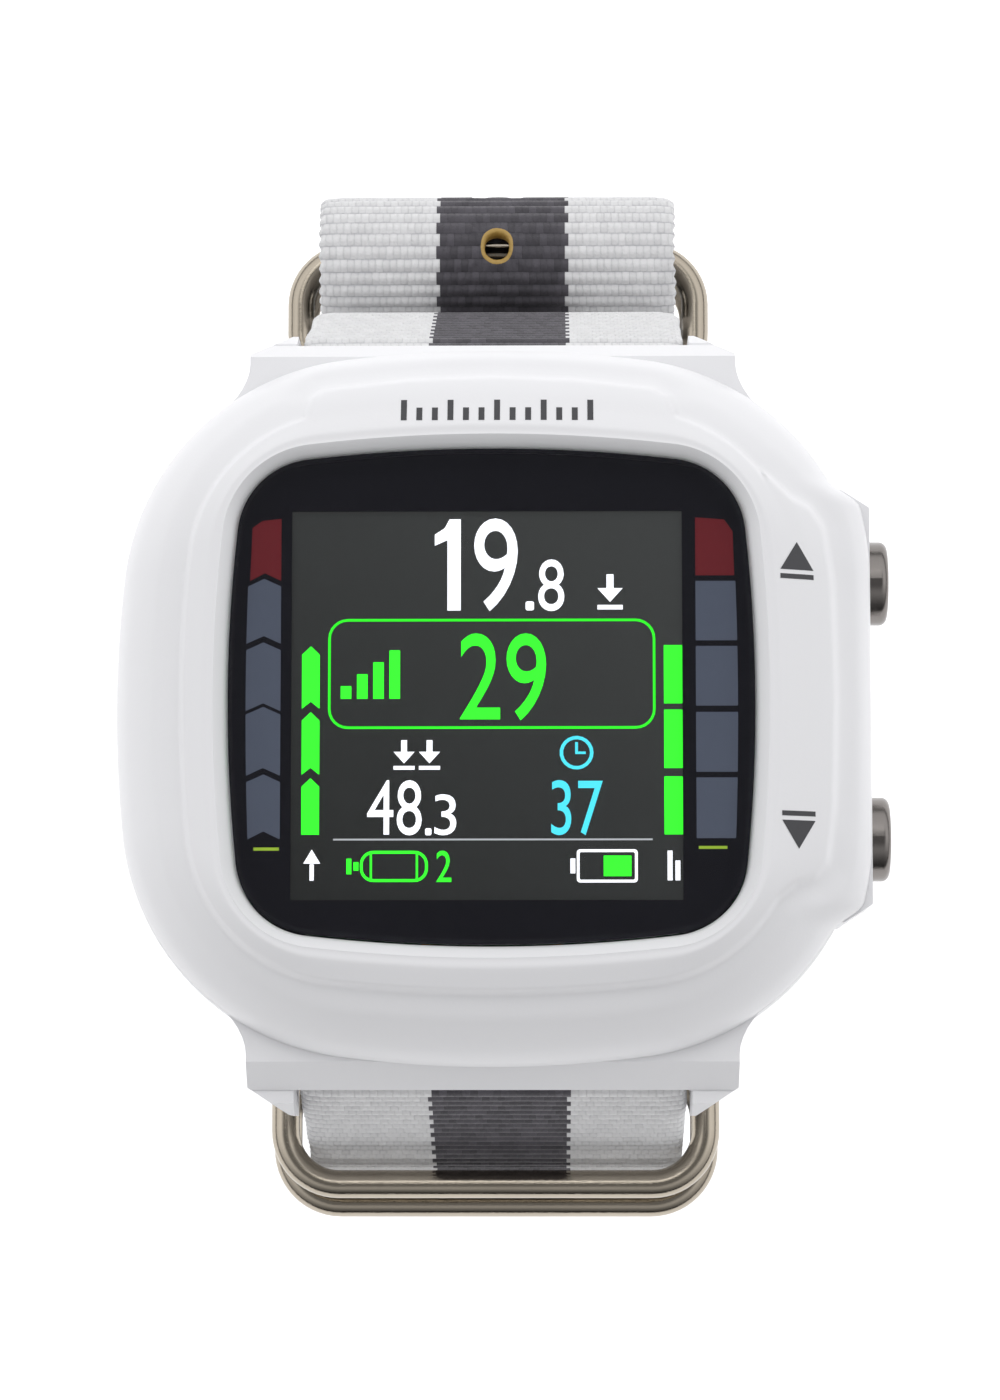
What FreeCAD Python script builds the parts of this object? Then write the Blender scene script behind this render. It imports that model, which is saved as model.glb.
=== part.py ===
import FreeCAD
import Part
import math
import os

# Wrist dive computer on a webbing strap.  Millimetres, +Z out of the screen, +Y to 12 o'clock,
# +X to the buttons.  The closed strap loop stands on z = 0; the case sits on top of the loop.

V = FreeCAD.Vector
X_DIR = V(1, 0, 0)
Y_DIR = V(0, 1, 0)
Z_DIR = V(0, 0, 1)

# ---- clearances -----------------------------------------------------------------------------
RUN = 0.05            # radial clearance of everything that turns or slides
SEAT = 0.02           # gap between fixed parts that touch
SOFT = 0.35           # gap between webbing and anything beside it
WRAP = 0.25           # gap between webbing and the bar it is wrapped round

# ---- case -----------------------------------------------------------------------------------
CASE_Z = 51.0         # height of the case back above the floor
CASE_HX = 27.1        # half width, buttons left out
CASE_HY = 25.9        # half height, lugs left out
CASE_SIDE_R = 88.0    # radius of the four bulged sides
CASE_CORNER_R = 18.0
CASE_T = 17.0         # case thickness
BEZEL_T = 7.0         # the bezel's share of it, above the part line

# ---- glass and display ----------------------------------------------------------------------
LENS_SIDE_R = 110.0
LENS_CORNER_R = 5.6
LENS_T = 2.7
LENS_RIM = 0.25       # how far the glass lies under the bezel's top
MASK_T = 0.25
GASKET_T = 0.36
LEDGE_T = 0.8
LEDGE_W = 1.3
ACTIVE = 27.7         # side of the lit area
LENS_HX = ACTIVE / 2.0 + 4.7
LENS_HY = ACTIVE / 2.0 + 3.7
SCREEN_DX = -0.35
SCREEN_DY = -0.45
PANEL_HX = ACTIVE / 2.0 + 0.85
PANEL_HY = ACTIVE / 2.0 + 0.85
PANEL_CORNER = 1.2
WINDOW_R = 3.2
PANEL_T = 1.6

# ---- strap ----------------------------------------------------------------------------------
STRAP_W = 27.8
STRAP_T = 1.2
HOLE_PITCH = 7.5
EYELET_R = 1.0
BAR_R = 0.9
BAR_Y = CASE_HY - 0.3
BAR_H = 3.6
SLOT_Y = CASE_HY - 3.0
SLOT_H = 7.0
LUG_W = 3.3
LUG_Y = CASE_HY + 1.8
BLOCK_Y = CASE_HY + 0.8
LUG_LOW = 1.5         # how much longer the 6 o'clock lugs are
LUG_CUT_X = 2.9       # slanted outer corner of each lug
LUG_CUT_Y = 1.9
FLARE_R = 1.9         # hollow curve from the lug into the case

# ---- rings and buckle -----------------------------------------------------------------------
RING_W = STRAP_W + 5.7
RING_D = 12.4
RING_R = 1.05
RING_CORNER = 4.0
SIDE_Y = BAR_Y + 7.1  # straight sides of the loop
SEWN_RING = (-SIDE_Y - 2.5, 44.5)      # outer edge y, height
STACK_RING = (-SIDE_Y - 3.9, 40.9)
KEEPER_Y = SIDE_Y + 7.9
KEEPER_HIGH_Z = 30.5
KEEPER_LOW_Z = 24.0
BUCKLE_R = 1.2
BUCKLE_HX = STRAP_W / 2.0 + 1.5
BUCKLE_REACH = 10.5
BUCKLE_CORNER = 1.5
HINGE_Z = 14.6
TONGUE_R = 0.8
CROSS_ANGLE = 35.0    # slope of the webbing through the buckle
CROSS_DROP = 6.5

# ---- buttons --------------------------------------------------------------------------------
GUARD_X = CASE_HX + 0.05
GUARD_HY = 14.7
BUTTON_Y = 9.35
BUTTON_H = 5.6
BUTTON_R = 3.05
BUTTON_OUT = 1.5
BUTTON_TRAVEL = 0.6
STEM_R = 1.0

# ---- derived --------------------------------------------------------------------------------
PART_LINE = CASE_T - BEZEL_T
TOP = CASE_Z + CASE_T
LENS_TOP = TOP - LENS_RIM
LENS_BOTTOM = LENS_TOP - LENS_T
MASK_BOTTOM = LENS_BOTTOM - SEAT - MASK_T
GASKET_BOTTOM = MASK_BOTTOM - SEAT - GASKET_T
LEDGE_TOP = GASKET_BOTTOM - SEAT
LEDGE_BOTTOM = LEDGE_TOP - LEDGE_T
PANEL_TOP = MASK_BOTTOM - 0.1
PANEL_BOTTOM = PANEL_TOP - PANEL_T
CAVITY_HX = CASE_HX - 5.8
CAVITY_HY = CASE_HY - 6.3
CAVITY_R = 8.0
LIP_W = 1.05
LIP_H = 1.15
BACK_T = 2.0
BACK_IN = 1.85
GROOVE_IN = 0.45
GROOVE_W = 0.8
GROOVE_H = 0.8
SLOT_HX = STRAP_W / 2.0 + 0.4
LUG_HX = SLOT_HX + LUG_W
BORE_BOTTOM = GUARD_X - 4.15
CAP_BACK = GUARD_X - 2.15
SLEEVE_R = 1.9
SLEEVE_IN = CAVITY_HX - 0.7
SLEEVE_FLANGE_R = 2.4
SPOT_X = CAVITY_HX - 0.3
CLIP_R = 1.7
CLIP_T = 0.5
CLIP_BORE = 0.75
STEM_END = SLEEVE_IN - 1.6
PLUNGER_R = 0.9
SWITCH_X = (STEM_END - 4.6, STEM_END - 1.2)
SWITCH_H = (4.2, 7.35)
SWITCH_HY = 2.9
BOARD_H = (7.4, 8.4)
BOARD_X = (1.4 - CAVITY_HX, CAVITY_HX - 2.1)
BOARD_HY = CAVITY_HY - 1.2
BATTERY_H = (2.8, 6.6)
BATTERY_X = (7.3 - CAVITY_HX, CAVITY_HX - 8.3)
BATTERY_HY = CAVITY_HY - 2.6
SCREW_X = CAVITY_HX - 4.7
SCREW_Y = CAVITY_HY - 4.4
SCREW_R = 0.8
SCREW_HEAD_R = 1.5
SCREW_HEAD_T = 1.0
SCREW_LEN = 5.6
BOSS_R = 2.0
BOSS_H = 6.2
PIN_X = ACTIVE / 2.0 + 1.45
PIN_Y = ACTIVE / 2.0 + 1.55
SENSOR_X = 3.5 - CAVITY_HX
SENSOR_R = 2.3
CONTACT_X = CAVITY_HX - 3.7
CONTACT_R = 0.9
CONTACT_PITCH = 3.0
CONTACT_COUNT = 4


def up(height):
    return CASE_Z + height


def cyl_x(radius, x0, x1, y, z):
    return Part.makeCylinder(radius, x1 - x0, V(x0, y, z), X_DIR)


def cyl_z(radius, x, y, z0, z1):
    return Part.makeCylinder(radius, z1 - z0, V(x, y, z0), Z_DIR)


def box(x0, x1, y0, y1, z0, z1):
    return Part.makeBox(x1 - x0, y1 - y0, z1 - z0, V(x0, y0, z0))


def fuse(shapes):
    joined = shapes[0]
    if len(shapes) > 1:
        joined = joined.fuse(shapes[1:])
    return joined.removeSplitter()


def cut(shape, tools):
    return shape.cut(tools).removeSplitter()


def save(name, shapes):
    if not isinstance(shapes, list):
        shapes = [shapes]
    solids = []
    for shape in shapes:
        solids.extend(shape.Solids)
    node = solids[0] if len(solids) == 1 else Part.makeCompound(solids)
    node.exportStep("parts/" + name + ".step")


# ---- outlines -------------------------------------------------------------------------------
def barrel(hx, hy, side_r, corner_r, z):
    """Closed wire of four bulged sides joined by tangent corner arcs."""
    ax = hx - side_r
    ay = hy - side_r
    reach = side_r - corner_r
    low = 0.0
    high = math.pi / 2.0
    for _ in range(60):
        mid = (low + high) / 2.0
        px = ax + reach * math.cos(mid)
        py = reach * math.sin(mid)
        if math.hypot(px, py - ay) > reach:
            high = mid
        else:
            low = mid
    if math.hypot(ax + reach, -ay) > reach:
        raise ValueError("outline corners don't close")
    tx = ax + (px - ax) * side_r / reach
    ty = py * side_r / reach
    sx = px * side_r / reach
    sy = ay + (py - ay) * side_r / reach
    diag = math.atan2((ty - py) + (sy - py), (tx - px) + (sx - px))
    mx = px + corner_r * math.cos(diag)
    my = py + corner_r * math.sin(diag)
    ring = [
        (tx, -ty), (hx, 0.0), (tx, ty), (mx, my), (sx, sy), (0.0, hy), (-sx, sy), (-mx, my),
        (-tx, ty), (-hx, 0.0), (-tx, -ty), (-mx, -my), (-sx, -sy), (0.0, -hy), (sx, -sy), (mx, -my),
    ]
    edges = []
    for i in range(0, 16, 2):
        a = ring[i]
        b = ring[i + 1]
        c = ring[(i + 2) % 16]
        edges.append(Part.Arc(V(a[0], a[1], z), V(b[0], b[1], z), V(c[0], c[1], z)).toShape())
    return Part.Wire(edges)


def barrel_prism(hx, hy, side_r, corner_r, z0, z1):
    return Part.Face(barrel(hx, hy, side_r, corner_r, z0)).extrude(V(0, 0, z1 - z0))


def case_wire(inset, height):
    return barrel(CASE_HX - inset, CASE_HY - inset, CASE_SIDE_R - inset, CASE_CORNER_R - inset, up(height))


def cavity_prism(grow, z0, z1):
    return barrel_prism(CAVITY_HX + grow, CAVITY_HY + grow, CASE_SIDE_R, CAVITY_R + grow, z0, z1)


def lens_prism(grow, z0, z1):
    return barrel_prism(LENS_HX + grow, LENS_HY + grow, LENS_SIDE_R + grow, LENS_CORNER_R + grow, z0, z1)


def window_prism(grow, z0, z1):
    hx = LENS_HX - LEDGE_W + grow
    hy = LENS_HY - LEDGE_W + grow
    return barrel_prism(hx, hy, LENS_SIDE_R, WINDOW_R + grow, z0, z1)


def round_box(x0, x1, y0, y1, z0, z1, radius):
    solid = box(x0, x1, y0, y1, z0, z1)
    edges = [e for e in solid.Edges if abs(e.Vertexes[0].Z - e.Vertexes[-1].Z) > 1e-6]
    return solid.makeFillet(radius, edges)


# ---- webbing --------------------------------------------------------------------------------
def path_pieces(points):
    """Lines and arcs through corner points (y, z, radius), as (kind, data) in order."""
    pieces = []
    last = points[0][:2]
    for i in range(1, len(points) - 1):
        a = points[i - 1]
        b = points[i]
        c = points[i + 1]
        da = math.hypot(b[0] - a[0], b[1] - a[1])
        dc = math.hypot(c[0] - b[0], c[1] - b[1])
        ua = ((b[0] - a[0]) / da, (b[1] - a[1]) / da)
        uc = ((c[0] - b[0]) / dc, (c[1] - b[1]) / dc)
        turn = math.atan2(ua[0] * uc[1] - ua[1] * uc[0], ua[0] * uc[0] + ua[1] * uc[1])
        reach = b[2] * math.tan(abs(turn) / 2.0)
        start = (b[0] - ua[0] * reach, b[1] - ua[1] * reach)
        side = 1.0 if turn > 0 else -1.0
        centre = (start[0] - ua[1] * b[2] * side, start[1] + ua[0] * b[2] * side)
        begin = math.atan2(start[1] - centre[1], start[0] - centre[0])
        if math.hypot(start[0] - last[0], start[1] - last[1]) > 1e-4:
            pieces.append(("line", last, start))
        pieces.append(("arc", centre, b[2], begin, turn))
        last = (b[0] + uc[0] * reach, b[1] + uc[1] * reach)
    pieces.append(("line", last, points[-1][:2]))
    return pieces


def offset_point(piece, share, shift):
    """Point on a piece at a share of its length, shifted to the left of travel."""
    if piece[0] == "line":
        a = piece[1]
        b = piece[2]
        length = math.hypot(b[0] - a[0], b[1] - a[1])
        ny = -(b[1] - a[1]) / length
        nz = (b[0] - a[0]) / length
        y = a[0] + (b[0] - a[0]) * share + ny * shift
        z = a[1] + (b[1] - a[1]) * share + nz * shift
        return V(0, y, z)
    side = 1.0 if piece[4] > 0 else -1.0
    angle = piece[3] + piece[4] * share
    radius = piece[2] - side * shift
    return V(0, piece[1][0] + radius * math.cos(angle), piece[1][1] + radius * math.sin(angle))


def piece_length(piece):
    if piece[0] == "line":
        return math.hypot(piece[2][0] - piece[1][0], piece[2][1] - piece[1][1])
    return abs(piece[4]) * piece[2]


def piece_edge(piece, shift, forward):
    a = offset_point(piece, 0.0 if forward else 1.0, shift)
    b = offset_point(piece, 1.0 if forward else 0.0, shift)
    if piece[0] == "line":
        return Part.LineSegment(a, b).toShape()
    return Part.Arc(a, offset_point(piece, 0.5, shift), b).toShape()


def band(points, thickness, width):
    """Solid band of webbing along a path in the YZ plane."""
    pieces = path_pieces(points)
    half = thickness / 2.0
    edges = [piece_edge(p, half, True) for p in pieces]
    end_a = offset_point(pieces[-1], 1.0, half)
    end_b = offset_point(pieces[-1], 1.0, -half)
    edges.append(Part.LineSegment(end_a, end_b).toShape())
    edges.extend([piece_edge(p, -half, False) for p in reversed(pieces)])
    start_a = offset_point(pieces[0], 0.0, -half)
    start_b = offset_point(pieces[0], 0.0, half)
    edges.append(Part.LineSegment(start_a, start_b).toShape())
    solid = Part.Face(Part.Wire(edges)).extrude(V(width, 0, 0))
    solid.translate(V(-width / 2.0, 0, 0))
    return solid


def on_path(points, distance):
    """Point and left normal at a distance along the path."""
    for piece in path_pieces(points):
        length = piece_length(piece)
        if distance <= length:
            share = distance / length
            here = offset_point(piece, share, 0.0)
            return here, offset_point(piece, share, 1.0) - here
        distance -= length
    raise ValueError("distance is past the end of the path")


def layer(count):
    return count * (STRAP_T + SOFT)


HALF_T = STRAP_T / 2.0
HINGE_WRAP = BUCKLE_R + WRAP + HALF_T
BAR_WRAP = BAR_R + WRAP + HALF_T
HINGE_Y = SIDE_Y - HINGE_WRAP
TAIL_Y = SIDE_Y + STRAP_T + 0.4
ROLL_R = 4.5
TUCK_Y = TAIL_Y + 1.8
UNDER_Z = CASE_Z - SOFT - HALF_T
SHORT_Z = UNDER_Z - layer(1)
CROSS_Z = HINGE_Z - CROSS_DROP
SLOPE = math.tan(math.radians(CROSS_ANGLE))
DIP_Z = (KEEPER_HIGH_Z + KEEPER_LOW_Z) / 2.0
KEEPER_BAR_Y = KEEPER_Y - RING_R
BAR_TOP = up(BAR_H) + BAR_WRAP
SHOULDER_Z = 40.0
SHOULDER_R = 20.0
CORNER_R = 15.0
RETURN_END = 21.8
ROLL_Z = 31.8
TAIL_END = 19.0

MAIN_PATH = [
    (SIDE_Y - STRAP_T - 0.1, RETURN_END, 0),
    (SIDE_Y - STRAP_T - 0.1, HINGE_Z + 4.7, 1.5),
    (HINGE_Y - HINGE_WRAP, HINGE_Z + 1.0, 1.5),
    (HINGE_Y - HINGE_WRAP, HINGE_Z - HINGE_WRAP, HINGE_WRAP - 0.05),
    (SIDE_Y, HINGE_Z - HINGE_WRAP, HINGE_WRAP - 0.05),
    (SIDE_Y, SHOULDER_Z, SHOULDER_R),
    (BAR_Y + 1.35, BAR_TOP, BAR_WRAP - 0.02),
    (BAR_Y - BAR_WRAP, BAR_TOP, BAR_WRAP - 0.02),
    (BAR_Y - BAR_WRAP, UNDER_Z, 1.0),
    (BAR_WRAP - BAR_Y, UNDER_Z, 1.0),
    (BAR_WRAP - BAR_Y, BAR_TOP, BAR_WRAP - 0.02),
    (-BAR_Y - 1.35, BAR_TOP, BAR_WRAP - 0.02),
    (-SIDE_Y, SHOULDER_Z, SHOULDER_R),
    (-SIDE_Y, HALF_T, CORNER_R),
    (HINGE_Y - (CROSS_Z - HALF_T) * SLOPE, HALF_T, 10.0),
    (TAIL_Y, CROSS_Z + (TAIL_Y - HINGE_Y) / SLOPE, 5.0),
    (TAIL_Y, ROLL_Z + ROLL_R, ROLL_R - 0.01),
    (TAIL_Y + 2 * ROLL_R, ROLL_Z + ROLL_R, ROLL_R - 0.01),
    (TAIL_Y + 2 * ROLL_R, DIP_Z + (TAIL_Y + 2 * ROLL_R - KEEPER_BAR_Y) * 0.7, 3.0),
    (TUCK_Y, DIP_Z - (KEEPER_BAR_Y - TUCK_Y) * 0.7, 3.0),
    (TUCK_Y, TAIL_END, 0),
]

RING_WRAP = RING_R + WRAP + HALF_T
SEWN_INNER_Y = SEWN_RING[0] + RING_D - RING_R
SHORT_PATH = [
    (SIDE_Y - STRAP_T - 0.1, 33.6, 0),
    (SIDE_Y - STRAP_T - 0.1, SHOULDER_Z, 12.0),
    (SIDE_Y - 5.3, SHORT_Z, 5.0),
    (SEWN_INNER_Y - RING_WRAP, SHORT_Z, 2.2),
    (SEWN_INNER_Y - RING_WRAP, SEWN_RING[1] - RING_WRAP, RING_WRAP - 0.02),
    (SEWN_INNER_Y + RING_WRAP, SEWN_RING[1] - RING_WRAP, RING_WRAP - 0.02),
    (SEWN_INNER_Y + RING_WRAP, SHORT_Z - STRAP_T - 0.1, 1.2),
    (-13.0, SHORT_Z - STRAP_T - 0.1, 0),
]


TONGUE_START = (HINGE_Y + 0.55, HINGE_Z - BUCKLE_R - 0.35)
TONGUE_END = (HINGE_Y + BUCKLE_R + TONGUE_R + 0.28, HINGE_Z - BUCKLE_REACH - 1.3)
TONGUE_LEAN = (TONGUE_END[0] - TONGUE_START[0]) / (TONGUE_START[1] - TONGUE_END[1])
TONGUE_AHEAD = TONGUE_START[0] - HINGE_Y + TONGUE_LEAN * TONGUE_START[1]
TONGUE_CROSS_Z = (TONGUE_AHEAD + SLOPE * CROSS_Z) / (SLOPE + TONGUE_LEAN)


def path_distance_at_cross():
    """Distance along the main path to the hole that the tongue stands in."""
    total = 0.0
    for piece in path_pieces(MAIN_PATH):
        length = piece_length(piece)
        if piece[0] == "line":
            rise = piece[2][1] - piece[1][1]
            if piece[1][0] > 20 and rise > 0 and piece[1][1] < TONGUE_CROSS_Z < piece[2][1] < HINGE_Z:
                return total + length * (TONGUE_CROSS_Z - piece[1][1]) / rise
        total += length
    raise ValueError("the webbing doesn't cross the buckle")


def main_strap():
    solid = band(MAIN_PATH, STRAP_T, STRAP_W)
    tools = []
    cross = path_distance_at_cross()
    for step in range(-4, 7):
        if step == 0:
            continue
        here, normal = on_path(MAIN_PATH, cross + step * HOLE_PITCH)
        tools.append(Part.makeCylinder(EYELET_R, STRAP_T + 0.2, here - normal * (HALF_T + 0.1), normal))
    here, normal = on_path(MAIN_PATH, cross)
    along = X_DIR.cross(normal)
    gap = TONGUE_R + SOFT
    for side in (-1.7, 1.7):
        foot = here + along * side - normal * (HALF_T + 0.2)
        tools.append(Part.makeCylinder(gap, STRAP_T + 0.4, foot, normal))
    window = Part.makeBox(2 * gap, 3.4, STRAP_T + 0.4, V(-gap, -1.7, -HALF_T - 0.2))
    window.rotate(V(0, 0, 0), X_DIR, math.degrees(math.atan2(along.z, along.y)))
    window.translate(here)
    tools.append(window)
    eye = HINGE_WRAP + HALF_T + 0.3
    tools.append(cyl_x(eye, -gap, gap, HINGE_Y, HINGE_Z))
    solid = cut(solid, tools)
    half = STRAP_W / 2.0
    tip = box(-half - 1, half + 1, TUCK_Y - 0.9, TUCK_Y + 0.9, TAIL_END - 1, TAIL_END + 5.0)
    keep = box(-half, half, TUCK_Y - 1, TUCK_Y + 1, TAIL_END, TAIL_END + 30)
    low_edges = [e for e in keep.Edges if abs(e.Vertexes[0].Z - TAIL_END) < 1e-6 and abs(
        e.Vertexes[-1].Z - TAIL_END) < 1e-6 and abs(e.Vertexes[0].X - e.Vertexes[-1].X) < 1e-6]
    keep = keep.makeFillet(4.5, low_edges)
    return solid.cut(tip.cut(keep))


def short_strap():
    solid = band(SHORT_PATH, STRAP_T, STRAP_W)
    straight = RING_W / 2.0 - RING_R - RING_CORNER - 0.1
    sides = []
    for sx in (-1, 1):
        x0 = straight if sx > 0 else -straight - 10
        side = box(x0, x0 + 10, SEWN_INNER_Y - 6, SEWN_INNER_Y + 4.2, SEWN_RING[1] - 6, SHORT_Z + 2)
        taper = [e for e in side.Edges if abs(e.Vertexes[0].X - sx * straight) < 1e-6 and abs(
            e.Vertexes[-1].X - sx * straight) < 1e-6 and e.Vertexes[0].Y > SEWN_INNER_Y + 4 and
            e.Vertexes[-1].Y > SEWN_INNER_Y + 4]
        sides.append(side.makeChamfer(2.0, taper))
    return solid.cut(sides)


# ---- rings and buckle -----------------------------------------------------------------------
def wire_loop(hx, hy, corner, stock):
    """Round stock bent to a rounded rectangle in the XY plane, centred on the origin."""
    parts = []
    for sx in (-1, 1):
        parts.append(Part.makeCylinder(stock, 2 * (hy - corner), V(sx * hx, corner - hy, 0), Y_DIR))
        parts.append(Part.makeCylinder(stock, 2 * (hx - corner), V(corner - hx, sx * hy, 0), X_DIR))
        for sy in (-1, 1):
            centre = V(sx * (hx - corner), sy * (hy - corner), 0)
            start = {(1, 1): 0, (-1, 1): 90, (-1, -1): 180, (1, -1): 270}[(sx, sy)]
            bend = Part.makeTorus(corner, stock, V(0, 0, 0), Z_DIR, -180, 180, 90)
            bend.rotate(V(0, 0, 0), Z_DIR, start)
            bend.translate(centre)
            parts.append(bend)
    return fuse(parts)


def ring(outer_y, z):
    side = 1 if outer_y > 0 else -1
    loop = wire_loop(RING_W / 2.0 - RING_R, RING_D / 2.0 - RING_R, RING_CORNER, RING_R)
    loop.translate(V(0, outer_y - side * RING_D / 2.0, z))
    return loop


def buckle_frame():
    loop = wire_loop(BUCKLE_HX, BUCKLE_REACH / 2.0, BUCKLE_CORNER, BUCKLE_R)
    loop.rotate(V(0, 0, 0), X_DIR, 90)
    loop.translate(V(0, HINGE_Y, HINGE_Z - BUCKLE_REACH / 2.0))
    return loop


def buckle_tongue():
    eye_out = BUCKLE_R + RUN + 0.75
    eye = cyl_x(eye_out, -TONGUE_R, TONGUE_R, HINGE_Y, HINGE_Z)
    start = V(0, TONGUE_START[0], TONGUE_START[1])
    end = V(0, TONGUE_END[0], TONGUE_END[1])
    run = end - start
    prong = Part.makeCylinder(TONGUE_R, run.Length, start, run)
    nose = Part.makeSphere(TONGUE_R, end)
    tongue = fuse([eye, prong, nose])
    return tongue.cut(cyl_x(BUCKLE_R + RUN, -TONGUE_R - 1, TONGUE_R + 1, HINGE_Y, HINGE_Z))


# ---- spring bars ----------------------------------------------------------------------------
BAR_HALF = SLOT_HX - 0.2
BAR_BORE = 0.62
TIP_STEM_R = 0.56
TIP_PIN_R = 0.45
CRIMP_T = 0.3
TIP_STEM_IN = BAR_HALF - 3.7
TIP_TRAVEL = 1.3
TIP_REACH = SLOT_HX + 1.6
BAR_WEB = 1.0
COIL_WIRE = 0.1


def bar_tube(y):
    z = up(BAR_H)
    tube = cyl_x(BAR_R, -BAR_HALF, BAR_HALF, y, z)
    tools = [cyl_x(TIP_PIN_R + RUN, -BAR_HALF - 1, -BAR_WEB, y, z)]
    tools.append(cyl_x(TIP_PIN_R + RUN, BAR_WEB, BAR_HALF + 1, y, z))
    tools.append(cyl_x(BAR_BORE, CRIMP_T - BAR_HALF, -BAR_WEB, y, z))
    tools.append(cyl_x(BAR_BORE, BAR_WEB, BAR_HALF - CRIMP_T, y, z))
    return tube.cut(tools)


def bar_tip(y, side):
    z = up(BAR_H)
    shoulder = BAR_HALF - CRIMP_T - 0.03
    stem = cyl_x(TIP_STEM_R, TIP_STEM_IN, shoulder, y, z)
    pin = cyl_x(TIP_PIN_R, shoulder, TIP_REACH, y, z)
    tip = fuse([stem, pin])
    if side < 0:
        tip = tip.mirror(V(0, 0, 0), X_DIR)
    return tip


def coil(radius, wire, x0, x1, turns, y, z):
    height = x1 - x0 - 2 * wire
    helix = Part.makeHelix(height / turns, height, radius)
    profile = Part.Wire(Part.makeCircle(wire, V(radius, 0, 0), Y_DIR))
    spring = Part.Wire(helix).makePipeShell([profile], True, True)
    spring.rotate(V(0, 0, 0), Y_DIR, 90)
    spring.translate(V(x0 + wire, y, z))
    return spring


def bar_spring(y, side):
    radius = BAR_BORE - 0.05 - COIL_WIRE
    spring = coil(radius, COIL_WIRE, BAR_WEB + 0.03, TIP_STEM_IN - 0.03, 11, y, up(BAR_H))
    if side < 0:
        spring = spring.mirror(V(0, 0, 0), X_DIR)
    return spring


# ---- case -----------------------------------------------------------------------------------
def guard(z0, z1, shrink):
    x1 = GUARD_X - shrink
    pts = []
    for side in (1, -1):
        half = side * (GUARD_HY - shrink)
        steps = [(8.7, 1.4), (2.0, 0.9), (0.0, -0.4)]
        run = [V(x1 - back, half + side * out, z0) for back, out in steps]
        pts.extend(run if side > 0 else reversed(run))
    face = Part.Face(Part.makePolygon(pts + [pts[0]]))
    return face.extrude(V(0, 0, z1 - z0))


def barrel_side_y(x):
    """Height on the case outline, in the plan view, at a distance from the middle."""
    reach = CASE_SIDE_R - CASE_CORNER_R
    low = 0.0
    high = CASE_HX - CASE_CORNER_R
    for _ in range(60):
        px = (low + high) / 2.0
        py = math.sqrt(reach ** 2 - (px - CASE_HX + CASE_SIDE_R) ** 2)
        if math.hypot(px, py - CASE_HY + CASE_SIDE_R) > reach:
            low = px
        else:
            high = px
    return py + math.sqrt(CASE_CORNER_R ** 2 - (x - px) ** 2)


def lug_block(side):
    """Overhang above the bar and the two lugs that hold it, a little longer on the 6 o'clock side."""
    top = up(PART_LINE) - 0.4
    reach = LUG_LOW if side < 0 else 0.0
    block_y = BLOCK_Y + reach / 2.0
    lug_y = LUG_Y + reach
    profile = [
        V(-LUG_HX, CAVITY_HY - 0.6, up(0.8)), V(-LUG_HX, block_y - 0.4, up(0.8)),
        V(-LUG_HX, block_y, up(1.4)), V(-LUG_HX, block_y, up(SLOT_H + 0.6)),
        V(-LUG_HX, BLOCK_Y - 1.2, top), V(-LUG_HX, CAVITY_HY - 0.6, top),
    ]
    block = Part.Face(Part.makePolygon(profile + [profile[0]])).extrude(V(2 * LUG_HX, 0, 0))
    parts = [block]
    for sx in (-1, 1):
        profile = [
            V(0, CAVITY_HY + 0.4, up(0.8)), V(0, lug_y, up(0.8)), V(0, lug_y, up(6.0)),
            V(0, lug_y - 0.8, up(7.4)), V(0, CAVITY_HY + 0.4, up(7.4)),
        ]
        lug = Part.Face(Part.makePolygon(profile + [profile[0]])).extrude(V(LUG_W, 0, 0))
        lug.translate(V(SLOT_HX if sx > 0 else -LUG_HX, 0, 0))
        parts.append(lug)
    lug = fuse(parts)
    corners = []
    for sx in (-1, 1):
        outer = sx * (LUG_HX + 1)
        low = lug_y - LUG_CUT_Y
        pts = [
            V(sx * (LUG_HX - LUG_CUT_X), lug_y + 0.01, up(0)), V(outer, lug_y + 0.01, up(0)),
            V(outer, low, up(0)), V(sx * (LUG_HX + 0.01), low, up(0)),
        ]
        corners.append(Part.Face(Part.makePolygon(pts + [pts[0]])).extrude(V(0, 0, CASE_T)))
    lug = cut(lug, corners)
    root = barrel_side_y(LUG_HX)
    flares = []
    for sx in (-1, 1):
        pts = [V(sx * (LUG_HX - 0.6), root - 3, up(1.2)), V(sx * (LUG_HX - 0.6), root + FLARE_R, up(1.2))]
        for i in range(7):
            a = math.radians(15.0 * i)
            x = LUG_HX + FLARE_R * (1 - math.cos(a))
            y = root + FLARE_R * (1 - math.sin(a)) - 0.75 * FLARE_R * (1 - math.cos(a))
            pts.append(V(sx * x, y, up(1.2)))
        pts.append(V(sx * (LUG_HX + FLARE_R), root - 3, up(1.2)))
        flares.append(Part.Face(Part.makePolygon(pts + [pts[0]])).extrude(V(0, 0, top - up(1.2))))
    lug = fuse([lug] + flares)
    if side < 0:
        lug = lug.mirror(V(0, 0, 0), Y_DIR)
    return lug


def slot_tool(side):
    edge = BLOCK_Y + (LUG_LOW / 2.0 if side < 0 else 0.0)
    tool = box(-SLOT_HX, SLOT_HX, SLOT_Y, 60, CASE_Z - 1, up(SLOT_H))
    lip = box(-SLOT_HX, SLOT_HX, edge + 0.001, 60, CASE_Z - 1, up(PART_LINE))
    tool = tool.fuse(lip)
    if side < 0:
        tool = tool.mirror(V(0, 0, 0), Y_DIR)
    return tool


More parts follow.
